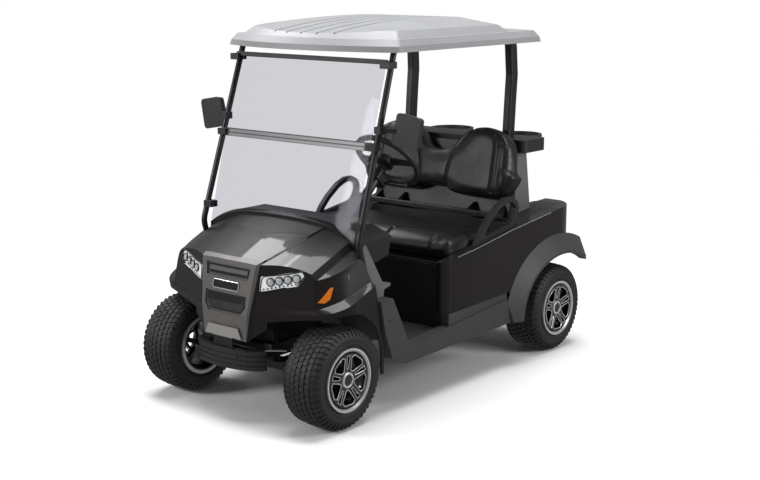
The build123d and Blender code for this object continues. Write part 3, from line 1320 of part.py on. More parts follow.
PLATE_THICKNESS = 4
with BuildPart() as front_plates:
    with BuildSketch(front_plane(sta(-218))):
        Polygon((-93, 427), (93, 427), (113, 381), (60, 381), (60, BUMPER_TOP_Z + PIECE_GAP),
                (-60, BUMPER_TOP_Z + PIECE_GAP), (-60, 381), (-113, 381), align=None)
    extrude(amount=-PLATE_THICKNESS)
    with BuildSketch(Plane.XY.offset(BUMPER_TOP_Z + PIECE_GAP)):
        for s in LEFT_RIGHT:
            Polygon((0, sta(-218)), (s * 125, sta(-215)), (s * 214, sta(-157)),
                    (s * 284, sta(-106)), (s * 272, sta(-98)), (s * 204, sta(-146)),
                    (s * 120, sta(-185)), (0, sta(-185)), align=None)
    extrude(amount=PLATE_THICKNESS)
save(front_plates, "front_plates")

HITCH_SPACING = 100
HITCH_HOLE_RADIUS = 6.5
with BuildPart() as rear_bumper:
    with BuildSketch(Plane.XY.offset(300)):
        with Locations((0, sta(REAR_END - 15))):
            RectangleRounded(640, 30, 12)
    extrude(amount=80)
    with BuildSketch(Plane.XY.offset(316)):
        with Locations(*[(s * RAIL_X, sta((RAIL_REAR + REAR_END) / 2 - 10)) for s in LEFT_RIGHT]):
            Rectangle(40, REAR_END - RAIL_REAR - 20 - 2 * PIECE_GAP)
    extrude(amount=48)
    with BuildSketch(front_plane(sta(REAR_END))):
        with Locations(*[(s * HITCH_SPACING / 2, 340) for s in LEFT_RIGHT]):
            Circle(HITCH_HOLE_RADIUS)
    extrude(amount=40, mode=Mode.SUBTRACT)
save(rear_bumper, "rear_bumper")


# Bag rack. A plate scooped out for two bags, with a hoop behind each scoop.

RACK_FRONT = 1500
RACK_REAR = 1704
SCOOP_X = 225
SCOOP_RADIUS = 108
with BuildPart() as bag_rack:
    with BuildSketch(Plane.XY.offset(RACK_BOTTOM_Z)):
        with Locations((0, sta((RACK_FRONT + RACK_REAR) / 2))):
            RectangleRounded(900, RACK_REAR - RACK_FRONT, 30)
        with Locations(*[(s * SCOOP_X, sta(1784)) for s in LEFT_RIGHT]):
            Circle(SCOOP_RADIUS, mode=Mode.SUBTRACT)
    extrude(amount=RACK_TOP_Z - RACK_BOTTOM_Z)
    with BuildSketch(Plane.XY.offset(RACK_TOP_Z - 30)):
        with Locations(*[(s * SCOOP_X, sta(1784)) for s in LEFT_RIGHT]):
            Circle(SCOOP_RADIUS + 14)
        with Locations(*[(s * SCOOP_X, sta(1784)) for s in LEFT_RIGHT]):
            Circle(SCOOP_RADIUS, mode=Mode.SUBTRACT)
    extrude(amount=24)
    for s in LEFT_RIGHT:
        add(rear_strut_form(s, PIECE_GAP), mode=Mode.SUBTRACT)
save(bag_rack, "bag_rack")


# Front axle. A beam on two leaf springs, with a forked end for each kingpin.

BEAM_HALF = 25
EAR_THICKNESS = 15
EAR_BOTTOM_Z = TYRE_RADIUS - 60
EAR_TOP_Z = TYRE_RADIUS + 60
LEAF_THICKNESS = 10
BEAM_END_X = KINGPIN_X - 35
FORK_BACK_X = BEAM_END_X - 16
FORK_TIP_X = KINGPIN_X + 22
with BuildPart() as front_axle:
    with BuildSketch(side_plane(-BEAM_END_X)):
        with Locations((FRONT_AXLE_Y, TYRE_RADIUS)):
            RectangleRounded(2 * BEAM_HALF, 2 * BEAM_HALF, 6)
    extrude(amount=2 * BEAM_END_X)
    for s in LEFT_RIGHT:
        with BuildSketch(front_plane(FRONT_AXLE_Y - 22)):
            Polygon((s * FORK_BACK_X, EAR_BOTTOM_Z), (s * FORK_TIP_X, EAR_BOTTOM_Z),
                    (s * FORK_TIP_X, EAR_BOTTOM_Z + EAR_THICKNESS),
                    (s * BEAM_END_X, EAR_BOTTOM_Z + EAR_THICKNESS),
                    (s * BEAM_END_X, EAR_TOP_Z - EAR_THICKNESS),
                    (s * FORK_TIP_X, EAR_TOP_Z - EAR_THICKNESS),
                    (s * FORK_TIP_X, EAR_TOP_Z), (s * FORK_BACK_X, EAR_TOP_Z), align=None)
        extrude(amount=-44)
        with BuildSketch(Plane.XY.offset(EAR_BOTTOM_Z - 10)):
            with Locations((s * KINGPIN_X, FRONT_AXLE_Y)):
                Circle(KINGPIN_RADIUS + RUNNING_GAP)
        extrude(amount=EAR_TOP_Z - EAR_BOTTOM_Z + 20, mode=Mode.SUBTRACT)
        with BuildSketch(side_plane(s * RAIL_X - 22)):
            with BuildLine():
                ThreePointArc(*stations([(-112, 286), (36, 262), (184, 286)]))
                Line(*stations([(184, 286), (184, 286 - LEAF_THICKNESS)]))
                ThreePointArc(*stations([(184, 286 - LEAF_THICKNESS),
                                         (36, 262 - LEAF_THICKNESS),
                                         (-112, 286 - LEAF_THICKNESS)]))
                Line(*stations([(-112, 286 - LEAF_THICKNESS), (-112, 286)]))
            make_face()
            with Locations(*stations([(-100, 286), (172, 286)])):
                Rectangle(24, 2 * (FRONT_TOP - RAIL_HEIGHT - PIECE_GAP - 286))
            with Locations((sta(0), 256)):
                Rectangle(56, 24)
        extrude(amount=44)
save(front_axle, "front_axle")


# Knuckles and tie rod. The steering arms point back and carry the rod's studs.

STUD_RADIUS = 6
ARM_THICKNESS = 16
EYE_RADIUS = 12
EYE_HEIGHT = 14
SPINDLE_PAST_CENTRE = 55


def make_knuckle(side):
    """The steering knuckle on one side, with kingpin, spindle, steering arm and stud."""
    with BuildPart() as knuckle:
        with BuildSketch(Plane.XY.offset(EAR_BOTTOM_Z + EAR_THICKNESS + 1)):
            with Locations((side * KINGPIN_X, FRONT_AXLE_Y)):
                Circle(22)
        extrude(amount=EAR_TOP_Z - EAR_BOTTOM_Z - 2 * EAR_THICKNESS - 2)
        with BuildSketch(Plane.XY.offset(EAR_BOTTOM_Z - 5)):
            with Locations((side * KINGPIN_X, FRONT_AXLE_Y)):
                Circle(KINGPIN_RADIUS)
        extrude(amount=EAR_TOP_Z - EAR_BOTTOM_Z + 10)
        with BuildSketch(side_plane(side * KINGPIN_X)):
            with Locations((FRONT_AXLE_Y, TYRE_RADIUS)):
                Circle(SPINDLE_RADIUS)
        extrude(amount=side * (FRONT_TRACK / 2 + SPINDLE_PAST_CENTRE - KINGPIN_X))
        with BuildSketch(side_plane(side * KINGPIN_X)):
            with Locations((FRONT_AXLE_Y, TYRE_RADIUS)):
                Circle(26)
        extrude(amount=side * 34)
        with BuildSketch(Plane.XY.offset(STEER_ARM_Z - ARM_THICKNESS / 2)):
            with Locations((side * KINGPIN_X, FRONT_AXLE_Y + STEER_ARM_BACK / 2)):
                Rectangle(2 * EYE_RADIUS, STEER_ARM_BACK)
            with Locations((side * KINGPIN_X, FRONT_AXLE_Y + STEER_ARM_BACK)):
                Circle(EYE_RADIUS)
        extrude(amount=ARM_THICKNESS)
        with BuildSketch(Plane.XY.offset(STEER_ARM_Z)):
            with Locations((side * KINGPIN_X, FRONT_AXLE_Y + STEER_ARM_BACK)):
                Circle(STUD_RADIUS)
        extrude(amount=ARM_THICKNESS / 2 + EYE_HEIGHT + 6)
    return knuckle


knuckle_left = make_knuckle(1)
save(knuckle_left, "knuckle_left")
knuckle_right = make_knuckle(-1)
save(knuckle_right, "knuckle_right")

ROD_Z = STEER_ARM_Z + ARM_THICKNESS / 2 + 2 + EYE_HEIGHT / 2
EYE_SLACK = 1.2
with BuildPart() as tie_rod:
    with BuildSketch(side_plane(-KINGPIN_X)):
        with Locations((FRONT_AXLE_Y + STEER_ARM_BACK, ROD_Z)):
            Circle(EYE_HEIGHT / 2)
    extrude(amount=2 * KINGPIN_X)
    with BuildSketch(Plane.XY.offset(ROD_Z - EYE_HEIGHT / 2)):
        with Locations(*[(s * KINGPIN_X, FRONT_AXLE_Y + STEER_ARM_BACK) for s in LEFT_RIGHT]):
            Circle(EYE_RADIUS)
    extrude(amount=EYE_HEIGHT)
    for s, slack in ((1, RUNNING_GAP), (-1, EYE_SLACK)):
        with BuildSketch(Plane.XY.offset(ROD_Z - EYE_HEIGHT)):
            with Locations((s * KINGPIN_X, FRONT_AXLE_Y + STEER_ARM_BACK)):
                Circle(STUD_RADIUS + slack)
        extrude(amount=2 * EYE_HEIGHT, mode=Mode.SUBTRACT)
save(tie_rod, "tie_rod")


# Rear axle. A tube with a differential, drums, spindles, leaf springs and a motor.

DRUM_RADIUS = 88
DIFFERENTIAL_RADIUS = 84
MOTOR_RADIUS = 72
LEAF_EYE_Z = REAR_TOP - RAIL_HEIGHT - 12
with BuildPart() as rear_axle:
    with BuildSketch(side_plane(0)):
        with Locations((REAR_AXLE_Y, TYRE_RADIUS)):
            Circle(34)
    extrude(amount=384, both=True)
    with BuildSketch(side_plane(0)):
        with Locations((REAR_AXLE_Y, TYRE_RADIUS)):
            Circle(SPINDLE_RADIUS)
    extrude(amount=REAR_TRACK / 2 + SPINDLE_PAST_CENTRE, both=True)
    with BuildSketch(side_plane(0)):
        with Locations((REAR_AXLE_Y, TYRE_RADIUS)):
            Circle(DIFFERENTIAL_RADIUS)
    extrude(amount=62, both=True)
    for s in LEFT_RIGHT:
        with BuildSketch(side_plane(s * 366)):
            with Locations((REAR_AXLE_Y, TYRE_RADIUS)):
                Circle(DRUM_RADIUS)
        extrude(amount=s * 28)
        with BuildSketch(side_plane(s * RAIL_X - 24)):
            with BuildLine():
                ThreePointArc(*stations([(1424, LEAF_EYE_Z), (1664, 274), (1904, LEAF_EYE_Z)]))
                Line(*stations([(1904, LEAF_EYE_Z), (1904, LEAF_EYE_Z - LEAF_THICKNESS)]))
                ThreePointArc(*stations([(1904, LEAF_EYE_Z - LEAF_THICKNESS),
                                         (1664, 274 - LEAF_THICKNESS),
                                         (1424, LEAF_EYE_Z - LEAF_THICKNESS)]))
                Line(*stations([(1424, LEAF_EYE_Z - LEAF_THICKNESS), (1424, LEAF_EYE_Z)]))
            make_face()
            with Locations(*stations([(1438, LEAF_EYE_Z - 2), (1890, LEAF_EYE_Z - 2)])):
                Rectangle(28, 28 - 2 * PIECE_GAP)
            with Locations((REAR_AXLE_Y, 256)):
                Rectangle(70, 40)
        extrude(amount=48)
    with BuildSketch(front_plane(REAR_AXLE_Y)):
        with Locations((0, TYRE_RADIUS + 6)):
            Circle(MOTOR_RADIUS)
    extrude(amount=230)
save(rear_axle, "rear_axle")


# Battery pack. Six blocks on a tray, standing on the floor pan under the seat.

BATTERY_WIDTH = 182
BATTERY_HEIGHT = 248
TRAY_THICKNESS = 6
with BuildPart() as battery_pack:
    with BuildSketch(Plane.XY.offset(FLOOR_Z + PIECE_GAP)):
        with Locations((0, sta(958))):
            Rectangle(2 * (BATTERY_WIDTH * 1.5 + 12), 400)
    extrude(amount=TRAY_THICKNESS)
    with BuildSketch(Plane.XY.offset(FLOOR_Z + PIECE_GAP)):
        with Locations((0, sta(958))):
            with GridLocations(BATTERY_WIDTH + 6, 192, 3, 2):
                RectangleRounded(BATTERY_WIDTH, 186, 8)
    extrude(amount=TRAY_THICKNESS + BATTERY_HEIGHT)
save(battery_pack, "battery_pack")
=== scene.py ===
# %% [markdown]
# # A two-seat golf cart, dressed for a studio photograph
#
# The cart is a real machine first: its frame, body panels, wheels and hinges come from a CAD
# model. This lesson gives each panel its finish, replaces the plain solids of tyres and
# cushions with modelled pieces, and lays modelled lenses, diodes and bezels on the lamps. The
# CAD parts are loaded first and never moved.

# %% Load the cart
from math import cos, pi, radians, sin

import bpy
import numpy as np
from mathutils import Matrix, Vector
from mathutils.bvhtree import BVHTree


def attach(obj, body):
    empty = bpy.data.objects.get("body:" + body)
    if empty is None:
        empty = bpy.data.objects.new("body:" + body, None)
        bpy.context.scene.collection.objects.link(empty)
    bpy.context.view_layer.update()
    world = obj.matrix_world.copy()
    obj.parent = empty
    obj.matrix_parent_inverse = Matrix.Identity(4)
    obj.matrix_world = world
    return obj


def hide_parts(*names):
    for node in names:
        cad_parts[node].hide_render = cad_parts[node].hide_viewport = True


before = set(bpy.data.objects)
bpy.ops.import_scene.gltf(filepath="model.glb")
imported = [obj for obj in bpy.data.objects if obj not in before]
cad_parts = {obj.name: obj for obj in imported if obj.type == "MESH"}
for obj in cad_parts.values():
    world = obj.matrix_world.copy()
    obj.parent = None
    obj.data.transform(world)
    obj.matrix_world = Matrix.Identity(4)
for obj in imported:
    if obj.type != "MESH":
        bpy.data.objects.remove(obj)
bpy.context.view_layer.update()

FRONT_AXLE_Y = -0.875
REAR_AXLE_Y = 0.789
AXLE_Z = 0.230
FRONT_WHEEL_X = 0.456
REAR_WHEEL_X = 0.472


def mm(x, station, z):
    """A place in metres, from millimetres beside, behind the front axle, and up."""
    return Vector((x / 1000, FRONT_AXLE_Y + station / 1000, z / 1000))


# %% [markdown]
# ## Colours and a way to build finishes
#
# Colours are picked as hex values, as from a paint chart, and Blender's shaders want them as
# linear light, so one function turns them. A finish is a small tree of nodes. One function
# adds a node, sets it and links it, so that each finish below reads as a short list.

# %% Colour and node helpers
def linear(hex_colour):
    """A paint-chart colour such as "23201d" as linear light with full opacity."""
    channels = [int(hex_colour[i:i + 2], 16) / 255 for i in (0, 2, 4)]
    light = [c / 12.92 if c <= 0.04045 else ((c + 0.055) / 1.055) ** 2.4 for c in channels]
    return (*light, 1.0)


def add(tree, kind, settings=None, links=None):
    """Adds one node, sets its properties or sockets, and links its inputs."""
    made = tree.nodes.new(kind)
    for name, value in (settings or {}).items():
        if isinstance(name, int) or name in made.inputs:
            made.inputs[name].default_value = value
        else:
            setattr(made, name, value)
    for name, source in (links or {}).items():
        tree.links.new(source, made.inputs[name])
    return made


def new_finish(name):
    """An empty material with an output, and its tree."""
    material = bpy.data.materials.new(name)
    material.use_nodes = True
    material.node_tree.nodes.clear()
    tree = material.node_tree
    output = add(tree, "ShaderNodeOutputMaterial")
    return material, tree, output


def grained(name, dark, light, roughness, grain_mm, depth_mm, spread=0.08, **sockets):
    """A moulded or cast finish: a grain of a real size, with a little change in colour."""
    material, tree, output = new_finish(name)
    place = add(tree, "ShaderNodeTexCoord").outputs["Object"]
    grain = add(tree, "ShaderNodeTexNoise", {"Scale": 1000 / grain_mm, "Detail": 3.0},
                {"Vector": place})
    cloud = add(tree, "ShaderNodeTexNoise", {"Scale": 7.0, "Detail": 4.0}, {"Vector": place})
    colour = add(tree, "ShaderNodeMix", {"data_type": "RGBA", 6: linear(dark), 7: linear(light)},
                 {0: cloud.outputs["Fac"]})
    rough = add(tree, "ShaderNodeMapRange", {"To Min": roughness - spread,
                                             "To Max": roughness + spread},
                {"Value": cloud.outputs["Fac"]})
    bump = add(tree, "ShaderNodeBump", {"Strength": 0.6, "Distance": depth_mm / 1000},
               {"Height": grain.outputs["Fac"]})
    shader = add(tree, "ShaderNodeBsdfPrincipled", sockets,
                 {"Base Color": colour.outputs[2], "Roughness": rough.outputs["Result"],
                  "Normal": bump.outputs["Normal"]})
    tree.links.new(shader.outputs["BSDF"], output.inputs["Surface"])
    return material


def dress(material, *nodes):
    """Gives CAD parts one finish."""
    for node in nodes:
        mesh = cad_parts[node].data
        mesh.materials.clear()
        mesh.materials.append(material)
    print(material.name, "on", ", ".join(nodes))


# %% [markdown]
# ## Body paint
#
# The body panels are thermoplastic with a gloss coat: a dark brown that looks black where it
# faces down, with a fine pearl flake. The pearl is a fine noise in the base colour, and the
# clear coat over it gives the sharp reflections.

# %% Body paint
PEEL_MM = 6.25


def gloss_paint(name, dark, light, flake_mm):
    """Base coat with a fine pearl flake under a clear coat with a slight orange peel."""
    material, tree, output = new_finish(name)
    place = add(tree, "ShaderNodeTexCoord").outputs["Object"]
    flake = add(tree, "ShaderNodeTexNoise", {"Scale": 1000 / flake_mm, "Detail": 2.0},
                {"Vector": place})
    colour = add(tree, "ShaderNodeMix", {"data_type": "RGBA", 6: linear(dark), 7: linear(light)},
                 {0: flake.outputs["Fac"]})
    peel = add(tree, "ShaderNodeTexNoise", {"Scale": 1000 / PEEL_MM, "Detail": 1.0},
               {"Vector": place})
    bump = add(tree, "ShaderNodeBump", {"Strength": 0.05, "Distance": 0.0006},
               {"Height": peel.outputs["Fac"]})
    shader = add(tree, "ShaderNodeBsdfPrincipled",
                 {"Roughness": 0.35, "Specular IOR Level": 0.15, "Coat Weight": 0.45,
                  "Coat IOR": 1.4, "Coat Roughness": 0.03},
                 {"Base Color": colour.outputs[2], "Coat Normal": bump.outputs["Normal"]})
    tree.links.new(shader.outputs["BSDF"], output.inputs["Surface"])
    return material


# A real pearl flake is far finer than a pixel of this picture, so it is drawn 0.9 mm wide. It
# warms the black where light falls on it, and the coat mirrors the lamps in long streaks.
BODY_PAINT = gloss_paint("Pearl brown-black gloss paint on thermoplastic", "0f0d0c", "1c1816", 0.9)
dress(BODY_PAINT, "front_body", "rear_body")

# %% [markdown]
# ## Moulded plastics and rubber
#
# Most of the trim is moulded: a satin grille panel, leather-grained sills and flares, smooth
# grey pillar covers and a pale roof. They differ in colour, in gloss and in the size of the
# grain that the mould leaves, so one function with real sizes serves them all.

# %% Moulded finishes
# Satin mouldings: broad, soft highlights, with a grain that shows only close by.
GRILLE_SATIN = grained("Satin grey moulded ABS", "4a4846", "55524f", 0.38, 1.4, 0.03)
COVER_GREY = grained("Mid grey moulded ABS", "56565a", "606064", 0.45, 1.6, 0.06)
ROOF_GREY = grained("Pale grey moulded roof plastic", "737476", "7d7e80", 0.42, 3.0, 0.05)
BUMPER_BLACK = grained("Black moulded bumper plastic", "161617", "202021", 0.45, 1.6, 0.08)
BATTERY_CASE = grained("Grey battery case polypropylene", "3a3a3c", "464648", 0.5, 1.5, 0.05)

# Grained mouldings and rubber: matt and a little speckled, so that scuffs do not show.
SILL_GRAIN = grained("Textured dark grey polypropylene", "2c2c2e", "363638", 0.55, 2.2, 0.25)
BLACK_PLASTIC = grained("Black grained polypropylene", "131314", "1c1c1d", 0.5, 1.8, 0.12)
FLOOR_RUBBER = grained("Ribbed black rubber mat", "121212", "1b1b1b", 0.7, 3.0, 0.5)
TYRE_RUBBER = grained("Tyre rubber", "151515", "1f1f1f", 0.62, 1.5, 0.1)

# Steel under powder coat is even and deep black; forged steel is a dull, rough metal.
BLACK_COAT = grained("Black powder-coated steel", "0a0a0b", "111112", 0.42, 1.0, 0.06)
FORGED = grained("Oiled forged steel", "38383a", "4a4a4c", 0.45, 2.5, 0.15, Metallic=0.8)

# Lenses: one clear colour all through, with small sharp highlights.
AMBER = grained("Amber acrylic lens", "b8540a", "d97a12", 0.15, 5.0, 0.1, spread=0.04)
RED = grained("Red acrylic lens", "6d0a0c", "92100f", 0.15, 5.0, 0.1, spread=0.04)

dress(GRILLE_SATIN, "grille")
dress(SILL_GRAIN, "rockers", "rear_flares")
dress(COVER_GREY, "pillar_covers", "cowl_trim")
dress(ROOF_GREY, "canopy")
dress(BLACK_PLASTIC, "bag_well", "seat_base", "seat_pan", "hip_restraints", "windshield_trim",
      "mirrors", "bag_rack", "steering_wheel")
dress(BUMPER_BLACK, "front_bumper", "rear_bumper")
dress(FLOOR_RUBBER, "floor_pan")
dress(BLACK_COAT, "chassis_frame", "front_struts", "rear_struts", "front_axle", "rear_axle",
      "seat_back_frame", "pedals", "steering_column")
dress(FORGED, "knuckle_left", "knuckle_right", "tie_rod")
dress(BATTERY_CASE, "battery_pack")
dress(AMBER, "side_markers")
dress(RED, "tail_lamps")

# %% [markdown]
# ## Two-colour parts
#
# The front plates are pale, as bare metal, where they stand above the bumper or beside it,
# and painted black behind the bumper for the shade that falls there. The dash has a grey pad on
# its upper faces and is black on its ends and underside. A place or a facing tells the colours
# apart.

# %% Two-colour finishes
BUMPER_TOP_Z = 0.378
BUMPER_PLATE_X = 0.205
DASH_PAD_X = 0.36
LOOKS_UP = 0.5


def two_tone(name, first, second, roughness, choose):
    """Two colours on one moulding, where choose() gives the share of the second."""
    material, tree, output = new_finish(name)
    share = choose(tree)
    place = add(tree, "ShaderNodeTexCoord").outputs["Object"]
    # The mould's grain is 1.8 mm from grain to grain.
    grain = add(tree, "ShaderNodeTexNoise", {"Scale": 550.0, "Detail": 3.0}, {"Vector": place})
    colour = add(tree, "ShaderNodeMix", {"data_type": "RGBA", 6: linear(first), 7: linear(second)},
                 {0: share})
    bump = add(tree, "ShaderNodeBump", {"Strength": 0.5, "Distance": 0.0001},
               {"Height": grain.outputs["Fac"]})
    shader = add(tree, "ShaderNodeBsdfPrincipled", {"Roughness": roughness},
                 {"Base Color": colour.outputs[2], "Normal": bump.outputs["Normal"]})
    tree.links.new(shader.outputs["BSDF"], output.inputs["Surface"])
    return material


def above_or_beside(tree):
    """One above the bumper's top or outside its ends, else nothing."""
    axes = add(tree, "ShaderNodeSeparateXYZ", {},
               {"Vector": add(tree, "ShaderNodeTexCoord").outputs["Object"]})
    high = add(tree, "ShaderNodeMath", {"operation": "GREATER_THAN", 1: BUMPER_TOP_Z},
               {0: axes.outputs["Z"]})
    beside = add(tree, "ShaderNodeMath", {"operation": "ABSOLUTE"}, {0: axes.outputs["X"]})
    outer = add(tree, "ShaderNodeMath", {"operation": "GREATER_THAN", 1: BUMPER_PLATE_X},
                {0: beside.outputs[0]})
    return add(tree, "ShaderNodeMath", {"operation": "MAXIMUM"},
               {0: high.outputs[0], 1: outer.outputs[0]}).outputs[0]


def facing_up(tree):
    """One on faces between the dash's ends that look upwards, else nothing."""
    axes = add(tree, "ShaderNodeSeparateXYZ", {},
               {"Vector": add(tree, "ShaderNodeNewGeometry").outputs["True Normal"]})
    inside = add(tree, "ShaderNodeSeparateXYZ", {},
                 {"Vector": add(tree, "ShaderNodeTexCoord").outputs["Object"]})
    beside = add(tree, "ShaderNodeMath", {"operation": "ABSOLUTE"}, {0: inside.outputs["X"]})
    middle = add(tree, "ShaderNodeMath", {"operation": "LESS_THAN", 1: DASH_PAD_X},
                 {0: beside.outputs[0]})
    up = add(tree, "ShaderNodeMath", {"operation": "GREATER_THAN", 1: LOOKS_UP},
             {0: axes.outputs["Z"]})
    return add(tree, "ShaderNodeMath", {"operation": "MULTIPLY"},
               {0: up.outputs[0], 1: middle.outputs[0]}).outputs[0]


# The black behind the bumper is painted shade; the pale above and beside it is the plate's own
# colour.
dress(two_tone("Pale plate, painted shade behind the bumper", "101011", "7c7a76", 0.45,
               above_or_beside), "front_plates")
dress(two_tone("Black dash with a grey pad", "0a0a0b", "4e4e51", 0.5, facing_up), "dash")

# %% [markdown]
# ## Clear panes
#
# The windshield is 5 mm clear polycarbonate. Real refraction would darken what stands behind
# it, so the pane lets light straight through and adds the mirror-like gloss that its surface
# has at each angle, with a faint grey tint.

# %% Clear pane
def clear_pane(name, tint):
    """Straight-through light with the surface's own reflections."""
    material, tree, output = new_finish(name)
    fresnel = add(tree, "ShaderNodeFresnel", {"IOR": 1.35})
    faces = add(tree, "ShaderNodeNewGeometry")
    front = add(tree, "ShaderNodeMath", {"operation": "SUBTRACT", 0: 1.0},
                {1: faces.outputs["Backfacing"]})
    share = add(tree, "ShaderNodeMath", {"operation": "MULTIPLY"},
                {0: fresnel.outputs["Fac"], 1: front.outputs[0]})
    through = add(tree, "ShaderNodeBsdfTransparent", {"Color": linear(tint)})
    gloss = add(tree, "ShaderNodeBsdfGlossy", {"Color": linear("7c7c80"), "Roughness": 0.03})
    mixed = add(tree, "ShaderNodeMixShader", {}, {0: share.outputs[0],
                                                  1: through.outputs["BSDF"],
                                                  2: gloss.outputs["BSDF"]})
    tree.links.new(mixed.outputs["Shader"], output.inputs["Surface"])
    return material


PANE = clear_pane("Clear polycarbonate", "e8e7ea")
dress(PANE, "windshield_lower", "windshield_upper")

# %% [markdown]
# ## Alloy rims
#
# The rims are cast aluminium under gloss black paint, and a lathe then bares the lip. Both
# sit on one part, so the finish tells them apart by the distance from the wheel's axis, which
# is the same sum for all four wheels.

# %% Alloy finish
LIP_INNER = 0.128
WHEELBASE_MIDDLE = (FRONT_AXLE_Y + REAR_AXLE_Y) / 2
HALF_WHEELBASE = (REAR_AXLE_Y - FRONT_AXLE_Y) / 2


def machined_alloy(name, paint, bare, lip_inner):
    """Gloss black paint, with bare turned metal outside a radius."""
    material, tree, output = new_finish(name)
    place = add(tree, "ShaderNodeTexCoord").outputs["Object"]
    axes = add(tree, "ShaderNodeSeparateXYZ", {}, {"Vector": place})
    along = add(tree, "ShaderNodeMath", {"operation": "SUBTRACT", 1: WHEELBASE_MIDDLE},
                {0: axes.outputs["Y"]})
    beside = add(tree, "ShaderNodeMath", {"operation": "ABSOLUTE"}, {0: along.outputs[0]})
    from_axle = add(tree, "ShaderNodeMath", {"operation": "SUBTRACT", 1: HALF_WHEELBASE},
                    {0: beside.outputs[0]})
    above = add(tree, "ShaderNodeMath", {"operation": "SUBTRACT", 1: AXLE_Z},
                {0: axes.outputs["Z"]})
    flat = add(tree, "ShaderNodeCombineXYZ", {}, {"X": from_axle.outputs[0],
                                                  "Y": above.outputs[0]})
    radius = add(tree, "ShaderNodeVectorMath", {"operation": "LENGTH"},
                 {0: flat.outputs["Vector"]})
    ring = add(tree, "ShaderNodeMapRange", {"From Min": lip_inner, "From Max": lip_inner + 0.001},
               {"Value": radius.outputs["Value"]})
    # Lines from the lathe's tool, 0.7 mm apart: the real ones would be too fine to show.
    fine = add(tree, "ShaderNodeMath", {"operation": "MULTIPLY", 1: 9000.0},
               {0: radius.outputs["Value"]})
    turned = add(tree, "ShaderNodeMath", {"operation": "SINE"}, {0: fine.outputs[0]})
    bump = add(tree, "ShaderNodeBump", {"Strength": 0.15, "Distance": 0.0002},
               {"Height": turned.outputs[0]})
    coated = add(tree, "ShaderNodeBsdfPrincipled",
                 {"Base Color": linear(paint), "Roughness": 0.3, "Coat Weight": 1.0,
                  "Coat Roughness": 0.05})
    metal = add(tree, "ShaderNodeBsdfPrincipled",
                {"Base Color": linear(bare), "Metallic": 0.7, "Roughness": 0.3},
                {"Normal": bump.outputs["Normal"]})
    mixed = add(tree, "ShaderNodeMixShader", {}, {0: ring.outputs["Result"],
                                                  1: coated.outputs["BSDF"],
                                                  2: metal.outputs["BSDF"]})
    tree.links.new(mixed.outputs["Shader"], output.inputs["Surface"])
    return material


ALLOY = machined_alloy("Gloss black cast aluminium, lip turned bright", "0c0c0d", "b9babb",
                       LIP_INNER)
WHEELS = {"front_left": (FRONT_WHEEL_X, FRONT_AXLE_Y, 1),
          "front_right": (-FRONT_WHEEL_X, FRONT_AXLE_Y, -1),
          "rear_left": (REAR_WHEEL_X, REAR_AXLE_Y, 1),
          "rear_right": (-REAR_WHEEL_X, REAR_AXLE_Y, -1)}
dress(ALLOY, *[f"rim_{place}" for place in WHEELS])
dress(TYRE_RUBBER, *[f"tyre_{place}" for place in WHEELS])

# %% [markdown]
# ## Ways to shape a new piece
#
# Short helpers do what a hand does in edit mode. `plate` moves the corners of a disc to an
# outline and extrudes it. `lathe` spins a profile, as turned parts are made. `rod` lays a round
# bar along a line, which is how piping, beads and wire are made. They start from a primitive
# because its faces and normals are known to be sound.

# %% Directions, selection and edit mode
OUT = Vector((1, 0, 0))
UP = Vector((0, 0, 1))
FORWARD = Vector((0, -1, 0))


def begin(kind, name, **settings):
    """Adds one primitive, with nothing else selected."""
    bpy.ops.object.select_all(action="DESELECT")
    getattr(bpy.ops.mesh, f"primitive_{kind}_add")(**settings)
    piece = bpy.context.object
    piece.name = name
    return piece


def hold(piece):
    """Selects one piece alone and makes it active."""
    bpy.ops.object.select_all(action="DESELECT")
    piece.select_set(True)
    bpy.context.view_layer.objects.active = piece


def open_edit():
    """Opens the active mesh in edit mode with everything selected."""
    bpy.ops.object.mode_set(mode="EDIT")
    bpy.ops.mesh.select_all(action="SELECT")


def face_outwards():
    """Turns all faces of the mesh in edit mode outwards, and leaves everything selected."""
    bpy.ops.mesh.select_all(action="SELECT")
    bpy.ops.mesh.normals_make_consistent(inside=False)


# %% Plates, turned parts and rods
def plate(name, corners, push, edge=0.0, segments=2):
    """A disc with a corner for each point of an outline, extruded, its edges rounded."""
    piece = begin("circle", name, vertices=len(corners), radius=1, fill_type="NGON")
    for point, corner in zip(piece.data.vertices, corners):
        point.co = corner
    open_edit()
    bpy.ops.mesh.extrude_region_move(TRANSFORM_OT_translate={"value": push})
    face_outwards()
    if edge:
        bpy.ops.mesh.bevel(offset=edge, segments=segments, affect="EDGES")
    bpy.ops.object.mode_set(mode="OBJECT")
    return piece


def lathe(name, profile, centre, axis, up, steps):
    """Spins a closed profile of (along, radius) points, in metres, about an axis."""
    piece = begin("circle", name, vertices=len(profile), radius=1, fill_type="NOTHING")
    for point, (along, radius) in zip(piece.data.vertices, profile):
        point.co = centre + axis * along + up * radius
    open_edit()
    bpy.ops.mesh.spin(steps=steps, angle=2 * pi, center=centre, axis=axis)
    bpy.ops.mesh.select_all(action="SELECT")
    bpy.ops.mesh.remove_doubles(threshold=0.000002)
    bpy.ops.mesh.delete_loose()
    face_outwards()
    bpy.ops.object.mode_set(mode="OBJECT")
    return piece


